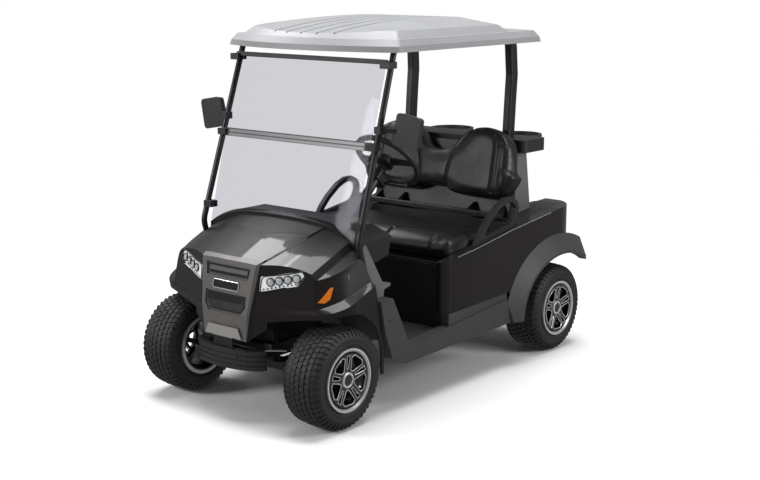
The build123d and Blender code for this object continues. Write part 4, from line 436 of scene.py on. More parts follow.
def rod(name, places, radius, closed=False, smooth=True):
    """A round rod or piping along a line through places, made as a curve, then a mesh."""
    curve = bpy.data.curves.new(name, "CURVE")
    curve.dimensions = "3D"
    curve.bevel_depth = radius
    curve.bevel_resolution = 2
    curve.resolution_u = 6
    curve.use_fill_caps = True
    line = curve.splines.new("NURBS" if smooth else "POLY")
    line.points.add(len(places) - 1)
    for knot, place in zip(line.points, places):
        knot.co = (*place, 1)
    line.use_cyclic_u = closed
    line.use_endpoint_u = not closed
    line.order_u = 3
    piece = bpy.data.objects.new(name, curve)
    bpy.context.scene.collection.objects.link(piece)
    hold(piece)
    bpy.ops.object.convert(target="MESH")
    return bpy.context.object


# %% [markdown]
# ## Ways to finish and place a piece
#
# `join` makes one mesh of several. `settle` is the last step for each piece: it puts the place
# into the mesh, shades it smooth up to an angle, gives it a finish and sets it on a body, so
# that it moves with that body. `twin` copies a piece, also as its mirror image. `touch` looks
# along a line for a CAD part's surface, so that small pieces sit on the part and not in it.

# %% Joining, settling and copying
def join(name, pieces):
    """Joins pieces into one mesh."""
    bpy.ops.object.select_all(action="DESELECT")
    for piece in pieces:
        piece.select_set(True)
    bpy.context.view_layer.objects.active = pieces[0]
    if len(pieces) > 1:
        bpy.ops.object.join()
    pieces[0].name = name
    return pieces[0]


def settle(piece, body, material, angle=35):
    """Puts a piece's place into its mesh, shades it, dresses it and sets it on a body."""
    hold(piece)
    bpy.ops.object.transform_apply(location=True, rotation=True, scale=True)
    bpy.ops.object.shade_smooth_by_angle(angle=radians(angle))
    piece.data.materials.clear()
    piece.data.materials.append(material)
    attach(piece, body)
    print("made", piece.name, "with", len(piece.data.polygons), "faces")
    return piece


def twin(piece, name, turn):
    """A copy of a piece with its own mesh, moved by a matrix."""
    other = bpy.data.objects.new(name, piece.data.copy())
    bpy.context.scene.collection.objects.link(other)
    other.data.transform(turn)
    if turn.determinant() < 0:
        other.data.flip_normals()
    return other


# %% Finding a surface
SURFACES = {}


def touch(node, start, towards):
    """Where a line from start first meets a CAD part, and which way that surface faces."""
    if node not in SURFACES:
        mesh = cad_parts[node].data
        SURFACES[node] = BVHTree.FromPolygons([corner.co for corner in mesh.vertices],
                                              [face.vertices for face in mesh.polygons])
    place, facing, _, _ = SURFACES[node].ray_cast(start, towards)
    return place, facing


# %% [markdown]
# ## Finishes for the new pieces
#
# Seat vinyl is embossed with a leather grain and stays slightly glossy. The grain is a net of
# cells with creases between them, over soft waves in the foam. The lamps have a white reflector
# under clear acrylic, so white with a sharp gloss stands for both. Chrome is a metal that
# mirrors sharply, and the bright metal on the rims' edges is a painted highlight.

# %% Leather-grained vinyl
def leather_vinyl(name, dark, light):
    """Embossed vinyl: small cells with creases between them, and soft waves underneath."""
    material, tree, output = new_finish(name)
    place = add(tree, "ShaderNodeTexCoord").outputs["Object"]
    # Cells of 2.4 mm: the real grain is nearer 1 mm and would not show at this distance.
    cells = add(tree, "ShaderNodeTexVoronoi", {"feature": "DISTANCE_TO_EDGE", "Scale": 420.0},
                {"Vector": place})
    waves = add(tree, "ShaderNodeTexNoise", {"Scale": 9.0, "Detail": 3.0}, {"Vector": place})
    colour = add(tree, "ShaderNodeMix", {"data_type": "RGBA", 6: linear(dark), 7: linear(light)},
                 {0: waves.outputs["Fac"]})
    rough = add(tree, "ShaderNodeMapRange", {"To Min": 0.34, "To Max": 0.46},
                {"Value": waves.outputs["Fac"]})
    soft = add(tree, "ShaderNodeBump", {"Strength": 0.35, "Distance": 0.006},
               {"Height": waves.outputs["Fac"]})
    grain = add(tree, "ShaderNodeBump", {"Strength": 0.25, "Distance": 0.0004},
                {"Height": cells.outputs["Distance"], "Normal": soft.outputs["Normal"]})
    shader = add(tree, "ShaderNodeBsdfPrincipled", {"Specular IOR Level": 0.5},
                 {"Base Color": colour.outputs[2], "Roughness": rough.outputs["Result"],
                  "Normal": grain.outputs["Normal"]})
    tree.links.new(shader.outputs["BSDF"], output.inputs["Surface"])
    return material


VINYL = leather_vinyl("Black embossed seat vinyl", "0b0b0c", "121213")
print("made", VINYL.name)

# %% Finishes of trim and lamps
# Soft trim stays dull beside the bright parts: chrome mirrors sharply, the bright metal of the
# rims' edge lines draws the mirror out to a glow as a painted highlight, and silver paint only
# hints at it.
PIPING = grained("Black vinyl piping", "0a0a0a", "121212", 0.5, 1.0, 0.04)
CHROME = grained("Chrome-plated ABS", "d2d3d4", "dedfe0", 0.16, 6.0, 0.02, spread=0.03,
                 Metallic=0.7)
# Pale metal for the rods on the rims' edges, which paint the highlight those edges catch.
RIM_EDGE_HIGHLIGHT = grained("Turned bare aluminium", "c4c5c7", "d6d7d9", 0.32, 1.2, 0.02, Metallic=0.6)
LAMP_WHITE = grained("White lamp reflector under clear acrylic", "d2d4d6", "eceeee", 0.12, 8.0,
                     0.05, spread=0.04)
LAMP_DARK = grained("Dark lamp bezel", "0b0b0c", "141415", 0.25, 3.0, 0.05)
GLASS_DOME = grained("Projector lens glass", "8a8e92", "b4b8bc", 0.06, 9.0, 0.01, spread=0.02)
SILVER = grained("Silver painted plastic", "8f9092", "a3a4a6", 0.35, 1.4, 0.05, Metallic=0.6)
SOFT_GRIP = grained("Black soft-touch wheel rim", "111112", "191919", 0.55, 1.2, 0.1)
CHANNEL_GREY = grained("Grey extruded channel", "5c5d5f", "707173", 0.35, 2.0, 0.05)
MIRROR_FACE = grained("Silvered mirror glass", "dcdddd", "eeeeee", 0.05, 20.0, 0.002, spread=0.01,
                      Metallic=1.0)
dress(LAMP_WHITE, "headlamps")
dress(LAMP_DARK, "cowl_band")

# %% [markdown]
# ## Tyres
#
# A golf tyre has a smooth side wall, a low tread of small square blocks in staggered rows, and
# about fifty narrow slanted lugs over each shoulder. The bare carcass is turned on the lathe
# with the grooves' depth already taken off. One sector of blocks and lugs is then modelled
# and spun as fifty copies, and the finished tyre is copied to the other three wheels.

# %% Tyre carcass
WHEEL_CENTRE = Vector((FRONT_WHEEL_X, FRONT_AXLE_Y, AXLE_Z))
CARCASS_STEPS = 100
side_wall = [(94, 127.5), (94, 148), (98.4, 157), (100.9, 161), (100.9, 164.5), (100.4, 166),
             (102.2, 176), (103, 184), (101.6, 193), (97.5, 198.5), (91.5, 206.5), (84, 216.5),
             (70, 219.8), (40, 223.4)]
profile = side_wall + [(0, 224.9)] + [(-x, r) for x, r in reversed(side_wall)]
carcass = lathe("tyre_carcass", [(x / 1000, r / 1000) for x, r in profile], WHEEL_CENTRE, OUT,
                UP, CARCASS_STEPS)
print("carcass faces", len(carcass.data.polygons))

# %% Tread blocks of one sector
LUG_COUNT = 50
TYRE_RADIUS = 230
SHOULDER_DROP = 7
SHOULDER_X = 84
BLOCK_ROWS = (-56, -28, 0, 28, 56)
BLOCK_SIZE = (23, 22, 10)
CHAMFER_WIDTH = 0.0018
CHAMFER_DEPTH = 0.0014
TO_AXLE = Matrix.Translation(-WHEEL_CENTRE)
FROM_AXLE = Matrix.Translation(WHEEL_CENTRE)
sector = []
for row, x in enumerate(BLOCK_ROWS):
    top = TYRE_RADIUS - SHOULDER_DROP * (x / SHOULDER_X) ** 2
    block = begin("cube", f"tread_block_{row}", size=0.001,
                  location=WHEEL_CENTRE + Vector((x, 0, top - BLOCK_SIZE[2] / 2)) / 1000)
    block.scale = BLOCK_SIZE
    bpy.ops.object.transform_apply(location=True, rotation=True, scale=True)
    for face in block.data.polygons:
        face.select = face.normal.z > 0.9
    bpy.ops.object.mode_set(mode="EDIT")
    bpy.ops.mesh.select_mode(type="FACE")
    bpy.ops.mesh.inset(thickness=CHAMFER_WIDTH)
    bpy.ops.object.mode_set(mode="OBJECT")
    for corner in block.data.vertices:
        off = (corner.co - WHEEL_CENTRE) * 1000
        at_side = abs(off.x - x) > BLOCK_SIZE[0] / 2 - 0.2
        at_end = abs(off.y) > BLOCK_SIZE[1] / 2 - 0.2
        if off.z > top - 1 and (at_side or at_end):
            corner.co.z -= CHAMFER_DEPTH
    half_turn = Matrix.Rotation((row % 2) * pi / LUG_COUNT, 4, OUT)
    block.data.transform(FROM_AXLE @ half_turn @ TO_AXLE)
    sector.append(block)
print("blocks in a sector", len(sector))

# %% Shoulder lugs of one sector
LUG_OUTLINE = ((71, 225.6), (84, 222.8), (95.2, 209.8), (101.2, 197), (99, 195.5), (89, 204),
               (80, 214), (71, 218))
LUG_INNER = 71
LUG_START = -6.5
LUG_SLANT = 0.32
LUG_WIDTH = 0.0135
for side in (1, -1):
    corners = [WHEEL_CENTRE + Vector((side * x, LUG_START + (x - LUG_INNER) * LUG_SLANT, r)) / 1000
               for x, r in LUG_OUTLINE]
    sector.append(plate(f"tread_lug_{side}", corners, (0, LUG_WIDTH, 0), 0.0009, 1))
print("blocks and lugs in a sector", len(sector))

# %% The sector spun to a whole tread
sector = join("tread_sector", sector)
hold(sector)
open_edit()
bpy.ops.mesh.spin(steps=LUG_COUNT - 1, dupli=True, angle=2 * pi * (LUG_COUNT - 1) / LUG_COUNT,
                  center=WHEEL_CENTRE, axis=OUT)
bpy.ops.object.mode_set(mode="OBJECT")
tyre = join("road_tyre_front_left", [carcass, sector])
print("tyre faces", len(tyre.data.polygons))

# %% Four tyres
for place, (x, y, out) in WHEELS.items():
    shift = Matrix.Translation(Vector((x, y, AXLE_Z)) - WHEEL_CENTRE)
    fitted = tyre if place == "front_left" else twin(tyre, f"road_tyre_{place}", shift)
    settle(fitted, f"wheel_{place}", TYRE_RUBBER, 30)
    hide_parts(f"tyre_{place}")

# %% [markdown]
# ## Painted highlights on the rims' edges
#
# The edges of the rims' windows catch a bright highlight on the black paint. A fine pale rod
# laid along each window's edge paints that highlight, with the same corners as the windows.
# A pale ring framing the bare centre cap and one on the lip paint their highlights too.

# %% Rim edges
SPOKES = 5
FACE_AT_HUB = 89
FACE_RISE = 12 / 87
HUB_RADIUS = 36
EDGE_RADIUS = 0.0021
WINDOW = ((46, 7), (96, 42), (112, 28), (112, -28), (96, -42), (46, -7))
SLOT = ((52, 5), (112, 11), (112, -11), (52, -5))


def on_face(across, up, proud):
    """A place on the rim's cone-shaped face, from its centre, in millimetres."""
    far = (across ** 2 + up ** 2) ** 0.5
    along = FACE_AT_HUB + FACE_RISE * (far - HUB_RADIUS) + proud
    return WHEEL_CENTRE + Vector((along, across, up)) / 1000


edges = []
for number in range(SPOKES):
    for first, shape, name in ((126, WINDOW, "window"), (90, SLOT, "slot")):
        angle = radians(first + 360 / SPOKES * number)
        places = [on_face(a * cos(angle) - b * sin(angle), a * sin(angle) + b * cos(angle), 0.1)
                  for a, b in shape]
        edges.append(rod(f"{name}_edge_{number}", places, EDGE_RADIUS, closed=True, smooth=False))
print("window edges", len(edges))

# %% Cap ring, lip and copies for the four wheels
ring = [(0.088, 0.0262), (0.0975, 0.0262), (0.0985, 0.0275), (0.0985, 0.0315), (0.0965, 0.035),
        (0.088, 0.036)]
edges.append(lathe("cap_ring", ring, WHEEL_CENTRE, OUT, UP, 48))
lip = [(0.1015, 0.1345), (0.1048, 0.1355), (0.1052, 0.139), (0.1045, 0.1432), (0.1005, 0.1432)]
edges.append(lathe("lip_ring", lip, WHEEL_CENTRE, OUT, UP, 96))
edges = join("rim_edges_front_left", edges)
# Each wheel gets a copy of the painted highlights on its rim's edges.
for place, (x, y, out) in WHEELS.items():
    turn = Matrix.Translation((x, y, AXLE_Z)) @ Matrix.Diagonal((out, out, 1, 1)) \
        @ Matrix.Translation(-WHEEL_CENTRE)
    fitted = edges if place == "front_left" else twin(edges, f"rim_edges_{place}", turn)
    settle(fitted, f"wheel_{place}", RIM_EDGE_HIGHLIGHT, 40)

# %% [markdown]
# ## Padded seats
#
# Both pads are foam blocks under a sewn vinyl cover. The foam presses the cover outwards, so
# it crowns between the seams and rolls over at the edges. A copy of each CAD form is rebuilt
# as an even net of squares, rounded, and blown up a little as cloth, with the side that rests
# on its board held still. The seams are then pressed in, and a line of dark piping is laid in
# each one.

# %% A soft copy of a CAD pad
VOXEL = 0.008
CLOTH_FRAMES = 20
TAUT_STEPS = 24


def apply_modifier(piece, kind, **settings):
    """Adds a modifier to the active piece, sets it and applies it."""
    modifier = piece.modifiers.new(kind, kind)
    for setting, value in settings.items():
        setattr(modifier, setting, value)
    bpy.ops.object.modifier_apply(modifier=modifier.name)


def padded_copy(node, name, held, pressure, cap, rounding):
    """A soft copy of a CAD part: remeshed, rounded, swollen as cloth, subdivided."""
    piece = bpy.data.objects.new(name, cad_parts[node].data.copy())
    bpy.context.scene.collection.objects.link(piece)
    hold(piece)
    open_edit()
    bpy.ops.mesh.remove_doubles(threshold=0.00002)
    bpy.ops.object.mode_set(mode="OBJECT")
    apply_modifier(piece, "REMESH", mode="VOXEL", voxel_size=VOXEL)
    apply_modifier(piece, "SMOOTH", factor=0.5, iterations=rounding)
    before = np.array([corner.co[:] for corner in piece.data.vertices])
    group = piece.vertex_groups.new(name="held")
    group.add([corner.index for corner in piece.data.vertices
               if held(corner.co, corner.normal)], 1.0, "REPLACE")
    cloth = piece.modifiers.new("Cloth", "CLOTH")
    cloth.settings.quality = 4
    cloth.settings.mass = 0.4
    cloth.settings.tension_stiffness = 12
    cloth.settings.compression_stiffness = 12
    cloth.settings.bending_stiffness = 1.5
    cloth.settings.vertex_group_mass = "held"
    cloth.settings.use_pressure = True
    cloth.settings.uniform_pressure_force = pressure
    cloth.settings.effector_weights.gravity = 0
    cloth.point_cache.frame_start = 1
    cloth.point_cache.frame_end = CLOTH_FRAMES
    for number in range(1, CLOTH_FRAMES + 1):
        bpy.context.scene.frame_set(number)
    bpy.ops.object.modifier_apply(modifier="Cloth")
    bpy.context.scene.frame_set(1)
    after = np.array([corner.co[:] for corner in piece.data.vertices])
    moved = after - before
    length = np.linalg.norm(moved, axis=1)[:, None]
    scale = np.minimum(1.0, cap / np.maximum(length, 1e-9))
    piece.data.vertices.foreach_set("co", (before + moved * scale).ravel())
    apply_modifier(piece, "SMOOTH", factor=0.5, iterations=TAUT_STEPS)
    print(name, "swelled by up to", round(float(length.max()) * 1000, 1), "mm")
    apply_modifier(piece, "SUBSURF", levels=1, render_levels=1)
    return piece


# %% [markdown]
# ## Seams
#
# A seam pulls the cover into the foam. It is drawn flat, as a few points on the pad, and bent
# to a smooth line. Each corner of the pad near the line then sinks along its own normal, most
# at the line and less away from it, and a thin round piping is laid where the line now runs.

# %% Seam helpers
def bend(points, steps=10):
    """A smooth line through flat points, as many short lines."""
    ends = [points[0], *points, points[-1]]
    line = []
    for a, b, c, d in zip(ends, ends[1:], ends[2:], ends[3:]):
        for step in range(steps):
            s = step / steps
            line.append(tuple(0.5 * (2 * q + (r - p) * s + (2 * p - 5 * q + 4 * r - t) * s ** 2
                                     + (3 * q - p - 3 * r + t) * s ** 3)
                              for p, q, r, t in zip(a, b, c, d)))
    return line + [points[-1]]


def press(piece, spot, seams, depth, width):
    """Presses a soft groove into a pad along seams, where spot() gives a corner's place."""
    count = len(piece.data.vertices)
    places = np.empty(count * 3)
    normals = np.empty(count * 3)
    piece.data.vertices.foreach_get("co", places)
    piece.data.vertex_normals.foreach_get("vector", normals)
    places = places.reshape(-1, 3)
    normals = normals.reshape(-1, 3)
    spots = [spot(Vector(place), Vector(normal)) for place, normal in zip(places, normals)]
    chosen = [number for number, place in enumerate(spots) if place is not None]
    flat = np.array([spots[number] for number in chosen])
    line = np.array([point for seam in seams for point in bend(seam)])
    near = np.min(np.linalg.norm(flat[:, None, :] - line[None, :, :], axis=2), axis=1)
    places[chosen] -= normals[chosen] * (depth * np.exp(-(near / width) ** 2))[:, None]
    piece.data.vertices.foreach_set("co", places.ravel())
    piece.data.update()


def pipe(piece, name, place_of, towards, seams, radius, sunk):
    """Lays piping along seams on a pad, found by looking along a direction."""
    tree = BVHTree.FromPolygons([corner.co for corner in piece.data.vertices],
                                [face.vertices for face in piece.data.polygons])
    lines = []
    for number, seam in enumerate(seams):
        found = []
        for point in bend(seam, 6):
            place, facing, _, _ = tree.ray_cast(place_of(point), towards(point))
            if place is not None:
                found.append(place - facing * sunk)
        lines.append(rod(f"{name}_{number}", found, radius))
    return join(name, lines)


# %% [markdown]
# ## Seat back and cushion
#
# The back has two lobes. In each, a curved seam and an upright one bound a smooth panel, and
# the bolster outside it has a fold and a puff. The cushion has short seams that run over its
# rolled front. The back's rear and the cushion's underside and rear edge are held still in the
# simulation, so that the cushion stays clear of the back's frame when it lifts.

# %% Seat back
SEAM_DEPTH = 0.006
SEAM_WIDTH = 0.008
PIPING_RADIUS = 0.0016
PIPING_SUNK = 0.0004
SWELLING = 1.2
LEAN = radians(15)
BACK_FOOT = mm(0, 1302, 846)
BACK_UP = Vector((0, sin(LEAN), cos(LEAN)))
BACK_FACING = Vector((0, -cos(LEAN), sin(LEAN)))


def on_back(place, normal):
    """A front corner of the back's pad as (x, height) in metres."""
    off = place - BACK_FOOT
    return (off.x, off.dot(BACK_UP)) if normal.dot(BACK_FACING) > 0.1 else None


back_seams = []
for side in (1, -1):
    inner = [(199, 336), (146, 277), (113, 222), (93, 150), (87, 80), (86, 4)]
    outer = [(352, 320), (363, 250), (367, 170), (371, 90), (372, 26)]
    back_seams += [[(side * x / 1000, up / 1000) for x, up in seam] for seam in (inner, outer)]
back = padded_copy("seat_back", "padded_seat_back",
                   lambda place, normal: normal.dot(BACK_FACING) < -0.6,
                   SWELLING, 0.012, 14)
press(back, on_back, back_seams, SEAM_DEPTH, SEAM_WIDTH)
folds = [[(side * 0.402, 0.03), (side * 0.400, 0.16), (side * 0.392, 0.27)] for side in (1, -1)]
press(back, on_back, folds, 0.005, 0.016)
puffs = [[(side * 0.436, 0.06), (side * 0.434, 0.16), (side * 0.42, 0.25)] for side in (1, -1)]
press(back, on_back, puffs, -0.004, 0.022)
settle(back, "cart", VINYL, 60)
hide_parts("seat_back")
seams = pipe(back, "seat_back_seams",
             lambda point: BACK_FOOT + Vector((point[0], 0, 0)) + BACK_UP * point[1]
             + BACK_FACING * 0.3,
             lambda point: -BACK_FACING, back_seams, PIPING_RADIUS, PIPING_SUNK)
settle(seams, "cart", PIPING, 60)

# %% Seat cushion
SEAT_BOTTOM = 0.618
SEAT_FRONT = FRONT_AXLE_Y + 0.8
SEAT_ROLL_Z = 0.70
SEAT_HELD_Y = FRONT_AXLE_Y + 1.11


def on_seat(place, normal):
    """A top or front corner of the cushion as (x, run), where run goes back over the roll."""
    if normal.y < -0.35:
        return (place.x, place.z - SEAT_ROLL_Z)
    if normal.z > 0.35:
        return (place.x, place.y - SEAT_FRONT)
    return None


INNER_SEAM = ((88, -74), (90, -30), (98, 24), (130, 90), (176, 150), (190, 210))
OUTER_SEAM = ((372, -74), (374, -30), (380, 24), (396, 90), (404, 190), (400, 330))
seat_seams = [[(side * x / 1000, run / 1000) for x, run in seam]
              for side in (1, -1) for seam in (INNER_SEAM, OUTER_SEAM)]
seat = padded_copy("seat_cushion", "padded_seat_cushion",
                   lambda place, normal: place.z < SEAT_BOTTOM + 0.012
                   or place.y > SEAT_HELD_Y, SWELLING, 0.014, 16)
press(seat, on_seat, seat_seams, SEAM_DEPTH, SEAM_WIDTH)
settle(seat, "seat", VINYL, 60)
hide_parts("seat_cushion")


def seat_start(point):
    """Where to look at the cushion from, for one place on a seam."""
    if point[1] < 0:
        return Vector((point[0], SEAT_FRONT - 0.2, SEAT_ROLL_Z + point[1]))
    return Vector((point[0], SEAT_FRONT + point[1], 0.95))


seams = pipe(seat, "seat_cushion_seams", seat_start,
             lambda point: -FORWARD if point[1] < 0 else -UP,
             seat_seams, PIPING_RADIUS, PIPING_SUNK)
settle(seams, "seat", PIPING, 60)

# %% [markdown]
# ## Headlamps
#
# Each lamp is a long clear cover over a white tray. Four round projector lenses stand in a
# row in it, above a line of small diodes, and a dark bezel runs round the tray. The CAD part
# is the tray; the lenses, the diodes and the bezel are laid on its front, found by looking at
# it along the lamp's facing. One lamp is made and mirrored for the other side.

# %% Places on the lamp
LOOK_FROM = 0.1
LAMP_INNER_TOP = mm(189, -167, 670)
LAMP_INNER_BOTTOM = mm(182, -175, 595)
LAMP_OUTER_TOP = mm(371, -80, 707)
LAMP_OUTER_RIGHT = mm(390, -85, 689)
LAMP_OUTER_BOTTOM = mm(361, -106, 638)
lamp_along = (LAMP_OUTER_BOTTOM - LAMP_INNER_BOTTOM).normalized()
lamp_facing = lamp_along.cross(LAMP_INNER_TOP - LAMP_INNER_BOTTOM).normalized()
if lamp_facing.y > 0:
    lamp_facing = -lamp_facing


def in_lamp(across, height):
    """A place on the lamp's front from shares of its length and height."""
    low = LAMP_INNER_BOTTOM.lerp(LAMP_OUTER_BOTTOM, across)
    high = LAMP_INNER_TOP.lerp(LAMP_OUTER_TOP, across)
    wanted = low.lerp(high, height)
    place, _ = touch("headlamps", wanted + lamp_facing * LOOK_FROM, -lamp_facing)
    return place if place is not None else wanted


print("the lamp faces", [round(share, 2) for share in lamp_facing])

# %% Lenses, their rims and the diodes
DOME = [(-0.001, 0.0), (-0.001, 0.0165), (0.003, 0.0160), (0.006, 0.0125), (0.0078, 0.007),
        (0.0084, 0.0)]
DOME_RIM = [(-0.001, 0.0168), (0.0046, 0.0168), (0.0054, 0.0182), (0.0040, 0.0198),
            (-0.001, 0.0200)]
DIODE = [(-0.001, 0.0), (-0.001, 0.0040), (0.0012, 0.0036), (0.0022, 0.0)]
lenses, rims, diodes = [], [], []
for number in range(4):
    centre = in_lamp(0.27 + 0.21 * number, 0.56)
    lenses.append(lathe(f"projector_{number}", DOME, centre, lamp_facing, UP, 24))
    rims.append(lathe(f"projector_rim_{number}", DOME_RIM, centre, lamp_facing, UP, 24))
for number in range(9):
    centre = in_lamp(0.12 + 0.1 * number, 0.19)
    diodes.append(lathe(f"diode_{number}", DIODE, centre, lamp_facing, UP, 10))
print("lenses", len(lenses), "diodes", len(diodes))

# %% The bezel, and both lamps
corners = [LAMP_INNER_TOP, LAMP_OUTER_TOP, LAMP_OUTER_RIGHT, LAMP_OUTER_BOTTOM,
           LAMP_INNER_BOTTOM]
middle = sum(corners, Vector()) / len(corners)
outline = []
for a, b in zip(corners, corners[1:] + corners[:1]):
    for share in (0.08, 0.36, 0.64, 0.92):
        wanted = a.lerp(b, share)
        inside = wanted + (middle - wanted).normalized() * 0.006
        place, _ = touch("headlamps", inside + lamp_facing * LOOK_FROM, -lamp_facing)
        outline.append((inside if place is None else place) + lamp_facing * 0.0005)
bezel = rod("headlamp_bezel", outline, 0.0026, closed=True)
MIRRORED = Matrix.Diagonal((-1, 1, 1, 1))
for pieces, name, finish in ((lenses, "headlamp_projectors", GLASS_DOME),
                             (rims, "headlamp_rims", LAMP_DARK),
                             (diodes, "headlamp_diodes", LAMP_DARK),
                             ([bezel], "headlamp_bezels", LAMP_DARK)):
    left = join(name, pieces)
    right = twin(left, f"{name}_right", MIRRORED)
    settle(join(name, [left, right]), "cart", finish, 40)

# %% [markdown]
# ## Grille
#
# The grille panel has a raised bar for a badge between two shallow pockets. The badge is left
# bare: a dark plate in a bright frame. A thin dark insert and a narrower blade lie in each
# pocket. The panel is curved, so each piece is a grid laid on its front, point by point.

# %% Skins that follow a curved front
def on_front(node, x, z, proud):
    """A place on a part's front, in millimetres, standing a little off it."""
    place, facing = touch(node, mm(x, -600, z), -FORWARD)
    return place + facing * (proud / 1000)


def front_skin(node, name, rows, proud, thick, columns=12):
    """A thin plate that follows a part's front, from (half width, height) rows."""
    piece = begin("grid", name, x_subdivisions=columns, y_subdivisions=len(rows) - 1, size=1)
    for number, corner in enumerate(piece.data.vertices):
        half, z = rows[number // (columns + 1)]
        share = number % (columns + 1) / columns * 2 - 1
        corner.co = on_front(node, half * share, z, proud)
    open_edit()
    bpy.ops.mesh.extrude_region_move(TRANSFORM_OT_translate={"value": (0, thick / 1000, 0)})
    face_outwards()
    bpy.ops.object.mode_set(mode="OBJECT")
    return piece


# %% Badge and pocket inserts
badge = [(74, 590), (80, 597), (80, 620), (74, 627)]
outline = [(-74, 590), (-37, 590), (0, 590), (37, 590), (74, 590), (80, 597), (80, 620),
           (74, 627), (37, 627), (0, 627), (-37, 627), (-74, 627), (-80, 620), (-80, 597)]
line = [on_front("grille", x, z, 3) for x, z in outline]
settle(rod("badge_frame", line, 0.0023, closed=True, smooth=False), "cart",
       CHROME)
for name, rows, proud, finish in (
        ("badge_plate", [(half * 0.97, z) for half, z in badge], 2.2, LAMP_DARK),
        ("upper_insert", [(122, 650), (129, 692)], 1.0, LAMP_DARK),
        ("lower_insert", [(94, 491), (117, 521), (120, 569)], 1.0, LAMP_DARK),
        ("upper_blade", [(117, 664), (121, 683)], 4.0, GRILLE_SATIN),
        ("lower_blade", [(97, 499), (112, 520), (114, 534)], 4.0, BLACK_COAT)):
    settle(front_skin("grille", name, rows, proud, 3.0), "cart", finish)

# %% [markdown]
# ## Steering wheel
#
# The CAD wheel is all black. On the real one the bar across it has a silver painted cover on
# each side, and a soft black cap hides the nut in the middle.

# %% Steering wheel bar cover and hub cap
COLUMN = radians(43)
HUB = mm(245, 642, 1100)
ALONG = Vector((0, cos(COLUMN), sin(COLUMN)))
ACROSS = Vector((0, sin(COLUMN), -cos(COLUMN)))


def in_wheel(x, down, towards_driver):
    """A place on the steering wheel, in millimetres from its hub."""
    return HUB + (OUT * x + ACROSS * down + ALONG * towards_driver) / 1000


bars = []
for side in (1, -1):
    outline = [(34, -20), (140, -12), (140, 10), (34, 20)]
    bars.append(plate(f"wheel_bar_{side}", [in_wheel(side * x, d, -2) for x, d in outline],
                      ALONG * 0.006, 0.002))
settle(join("wheel_bar_cover", bars), "steering_wheel", SILVER)
cap = [(0.003, 0.0), (0.003, 0.030), (0.010, 0.028), (0.0125, 0.022), (0.0135, 0.0)]
settle(lathe("wheel_hub_cap", cap, HUB, ALONG, OUT, 32), "steering_wheel",
       SOFT_GRIP)

# %% [markdown]
# ## Mirrors
#
# A mirror is silvered glass inside a black shell. The glass is a little smaller than the
# shell, and its corners are found on the side that the driver sees.

# %% Mirror faces
GLASS_SHARE = 0.8
mirror_parts = []
SHELL = [(521, 1232), (664, 1206), (690, 1352), (560, 1374)]
for side in (1, -1):
    mid_x = side * sum(x for x, _ in SHELL) / 4
    mid_z = sum(z for _, z in SHELL) / 4
    glass = []
    for x, z in SHELL:
        near, _ = touch("mirrors", mm(mid_x + (side * x - mid_x) * GLASS_SHARE, 900,
                                      mid_z + (z - mid_z) * GLASS_SHARE), FORWARD)
        glass.append(near - FORWARD * 0.0003)
    mirror_parts.append(plate(f"mirror_face_{side}", glass, (0, 0.002, 0), 0.0008))
settle(join("mirror_faces", mirror_parts), "cart", MIRROR_FACE)

# %% [markdown]
# ## Windshield trims
#
# The two halves of the windshield meet in an extruded hinge channel. It shows as two pale
# bands with a dark line between them, so two thin skins are laid on the CAD channel.

# %% Channel bands
BAND_HALF = 424
bands = [front_skin("windshield_trim", f"channel_band_{z}", [(BAND_HALF, z), (BAND_HALF, z + 13)],
                    0.4, 1.2, 4) for z in (1201, 1219)]
settle(join("channel_bands", bands), "cart", CHANNEL_GREY)

# %% [markdown]
# ## Bright edges on the panels
#
# Where two panels meet, a glossy edge catches the light in a fine bright line. A thin pale bead
# along the ridge of the hood and along the rear body's top rim paints that highlight. Each bead
# is laid on the panel, found from the side or from above, and has a satin finish that shines
# along its length.

# %% Panel beads
# Pale satin beads paint the highlight along the panels' edges.
PANEL_EDGE_HIGHLIGHT = grained("Painted highlight on panel edges, satin", "6c6a68", "7d7b79", 0.3, 1.2, 0.02)


def bead(name, node, starts, towards, radius):
    """A thin bead on a part, through the places that lines from starts meet."""
    found = []
    for start in starts:
        place, _ = touch(node, start, towards)
        if place is not None:
            found.append(place - towards * radius * 0.4)
    settle(rod(name, found, radius), "cart", PANEL_EDGE_HIGHLIGHT, 60)


def rim_edge(side, station):
    """The highest place of the rear body's side wall at a station."""
    for z in range(900, 540, -2):
        place, _ = touch("rear_body", mm(side * 900, station, z), -OUT * side)
        if place is not None and abs(place.x) > 0.5:
            return place
    return None


for side in (1, -1):
    ridge = [mm(side * (178 + 72 * s / 10), -147 + 249 * s / 10, 1000) for s in range(1, 10)]
    bead(f"hood_ridge_highlight_{side}", "front_body", ridge, -UP, 0.0024)
    rim = [rim_edge(side, 800 + 40 * s) for s in range(21)]
    rim = [place + Vector((side * 0.0002, 0, 0.0002)) for place in rim if place is not None]
    settle(rod(f"body_rim_highlight_{side}", rim, 0.0022), "cart", PANEL_EDGE_HIGHLIGHT, 60)

# %% [markdown]
# ## Dark board behind the plates
#
# Behind the front plates a flat black board paints the shade that falls between them. It is a
# plain cut sheet, and it shows only as the dark between the plates.

# %% Dark board behind the bumper, as painted shade
board = plate("shade_board", [mm(-214, -92, 346), mm(214, -92, 346), mm(214, -92, 520),
                               mm(-214, -92, 520)], (0, 0.004, 0), 0.001, 1)
settle(board, "cart", BLACK_PLASTIC)

# %% [markdown]
# ## Ribs on the floor mat
#
# The mat in the footwell is moulded rubber with low ribs that run across the cart. Each rib is
# a thin rod half sunk in the floor, laid from one side of the footwell to the other.

